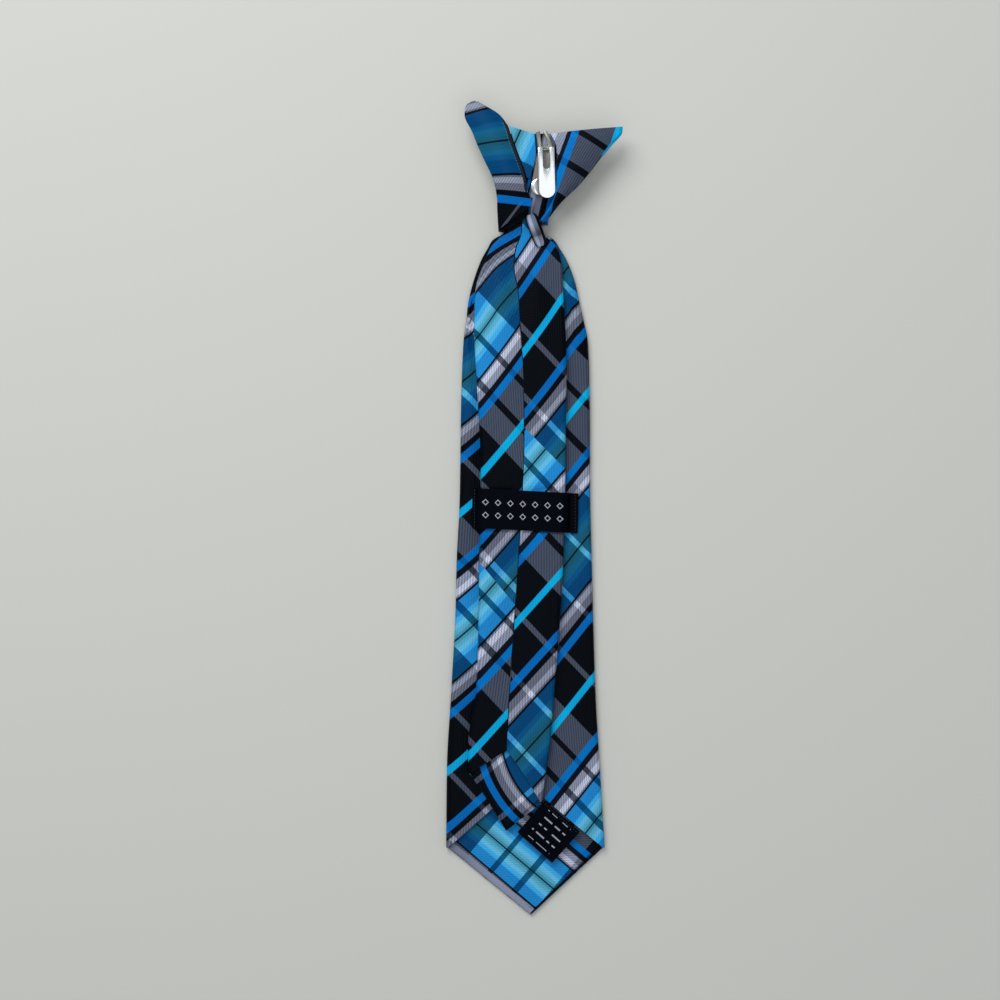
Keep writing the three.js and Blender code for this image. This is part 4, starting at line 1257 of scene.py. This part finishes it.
clip_lever = rounded("lever_metal", "clip_lever", chrome, 0.14)
clip_plate = rounded("plate_metal", "clip_plate", dull_metal, 0.1)
clip_pin = rounded("pin_metal", "clip_pin", dull_metal, 0.08)
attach(clip_lever, "lever")
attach(clip_plate, "tie")
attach(clip_pin, "tie")

# %% Dished part of the pad
CLIP = dict(offset=9.1, drop=7.4, turn=1.5, plate=15.6, pad=3.65, shift=-3.2, side=-0.7)
along = np.linspace(-0.95, 0.95, 36)[:, None]
across = np.linspace(0, 1, 14)[None, :]
v = along * math.sqrt(CLIP["pad"] ** 2 - CLIP["side"] ** 2)
u = lerp(CLIP["side"], -np.sqrt(CLIP["pad"] ** 2 - v ** 2), across) + CLIP["shift"]
v = v - CLIP["plate"] + 0 * u
swell = np.sin(np.pi * (0.1 + 0.8 * across)) * (1 - along ** 4)
x, y = turned(u, v, (CLIP["offset"], KNOT["base"] + KNOT["height"] - CLIP["drop"]), CLIP["turn"])
grid = joined(x, y, KNOT["depth"] + GAP + 0.8 + 0.45 * swell)
dish = cloth("pad_dish", grid[:, ::-1], 0.16, {"ribbon": grid[:, ::-1, :2].copy()})
dish.data.materials.append(chrome)
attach(dish, "tie")

# %% Thread, and the rows of stitches
def thread(name, shade):
    finish = Finish(name)
    twist = finish.noise(2500.0, 2.0)
    colour = finish.mix(twist * 0.5, (*srgb(*shade), 1), (*[c * 0.55 for c in srgb(*shade)], 1))
    return finish.set(Base_Color=colour, Roughness=0.5 + twist * 0.1,
                      Normal=finish.bump(0.3, 0.0001, twist))


pale_thread = thread("pale_thread", (104, 132, 150))
black_thread = thread("black_thread", (14, 18, 28))

wing_stitches = sew("wing_stitches", along_wing(left_wing_finer, 1.5, 0.03)[24:-18], pale_thread,
                    Spacing=1.3, Length=0.75, Thickness=0.26, Slant=10)


def keeper_line(x):
    level = KEEPER["place"] + np.linspace(-0.44, 0.44, 12) * KEEPER["height"]
    height = blade_top(level) + GAP + KEEPER["wall"] + 0.03
    return joined(x, level + math.tan(math.radians(KEEPER["turn"])) * x, height)


at = tail_at(np.array(KEEPER["place"]))
keeper_stitches = [
    sew("keeper_stitches_" + side, keeper_line(float(at[side]) + past), black_thread,
        Spacing=1.3, Length=0.95, Thickness=0.3)
    for side, past in (("left", 1.1 - KEEPER["left"]), ("right", KEEPER["right"] - 1.3))]

x, y = turned(np.linspace(1.2, CARE["length"] - 1.0, 12), 0.6, corner, CARE["turn"])
line = joined(x, y, care_level + CARE["wall"] + 0.03)
care_stitches = sew("care_stitches", line, black_thread, Spacing=1.3, Length=0.9, Thickness=0.28)

# %% [markdown]
# ## Giving each piece its finish and its place in the model
#
# Every new piece of cloth stands for one node of the imported model and moves with the tie's body.
# Hems, edges and stitches move with the tie's body too. Only the clip's lever, made
# above, moves on its own.

# %% Finish, node and body of each cloth piece
pieces = [
    (main_blade, "main_blade", plaid_satin, "folded", []),
    (tail_blade, "tail_blade", plaid_seamed, "folded", [main_blade]),
    (blade_tipping, "blade_tipping", plaid_satin, "laid", [main_blade]),
    (tail_tipping, "tail_tipping", plaid_satin, "laid", [tail_blade]),
    (keeper, "keeper_label", label_satin, "laid", [main_blade, tail_blade]),
    (care_label, "care_label", care_satin, "laid", [main_blade]),
    (knot, "knot", plaid_satin, "folded", []),
    (left_wing, "left_wing", plaid_satin, "folded", [knot]),
    (right_wing, "right_wing", plaid_satin, "folded", [knot]),
    (inner_fold, "left_inner_fold", plaid_satin, "laid", [knot]),
    (neck_roll, "neck_roll", plaid_satin, "", []),
]
on_top = {"blade_cloth": [hem_left, hem_right], "right_wing_cloth": [wing_edge],
          "left_wing_cloth": [left_edge, wing_stitches], "keeper_ribbon": keeper_stitches,
          "care_ribbon": [care_stitches]}
for extra in (hem_left, hem_right, wing_edge, left_edge):
    extra.data.materials.append(plaid_satin)
for extra in sum(on_top.values(), []):
    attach(extra, "tie")
for piece, node, finish, held, under in pieces:
    piece.data.materials.append(finish)
    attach(piece, "tie")
    "label_satin" if "label" in node else "plaid_satin"
    if held:
        [o.name for o in under]
        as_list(on_top.get(piece.name, []))
    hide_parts(node)
    points = np.array([v.co for v in piece.data.vertices])
    box_low, box_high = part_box(node)
    past = np.array([np.array(box_low) - points.min(0), points.max(0) - np.array(box_high)]) / MM
    print(node, "reaches past the node's box by, mm:", past.round(2).tolist())

# %% [markdown]
# ## Floor, light and camera
#
# The picture is taken from straight above, through a long lens, so that the high knot isn't drawn
# outwards. The floor is plain and pale. A window at the upper left throws the soft shadows to the
# lower right, and a wide lamp and the room's own light keep them faint.

# %% Floor
bpy.ops.mesh.primitive_plane_add(size=6, location=(0, 0, 0))
floor = bpy.context.object
floor.name = "floor"
pale = Finish("pale_floor")
floor.data.materials.append(pale.set(Base_Color=(*srgb(188, 189, 183), 1), Roughness=0.85))

# %% Lights and camera
def soft_light(name, place, size, power):
    data = bpy.data.lights.new(name, "AREA")
    data.shape, data.size, data.energy = "DISK", size, power
    light = placed(name, data)
    light.location = place
    light.rotation_euler = (-light.location).to_track_quat("-Z", "Y").to_euler()


soft_light("window", (-0.36, 0.72, 0.86), 0.8, 10.2)
soft_light("fill", (0.1, -0.44, 1.6), 1.6, 6)
world = bpy.data.worlds.new("room")
world.use_nodes = True
world.node_tree.nodes["Background"].inputs[0].default_value = (0.92, 0.96, 1.0, 1)
world.node_tree.nodes["Background"].inputs[1].default_value = 0.48
bpy.context.scene.world = world
bpy.context.scene.view_settings.view_transform = "Standard"

FRAME_WIDTH = 0.437
FRAME_MIDDLE = (-0.0146, 0.0041)
KNOT_LEVEL = 0.006
eye = bpy.data.cameras.new("camera")
eye.lens = 100
camera = placed("camera", eye)
camera.location = (*FRAME_MIDDLE, KNOT_LEVEL + FRAME_WIDTH / 2 * eye.lens / (eye.sensor_width / 2))
bpy.context.scene.camera = camera
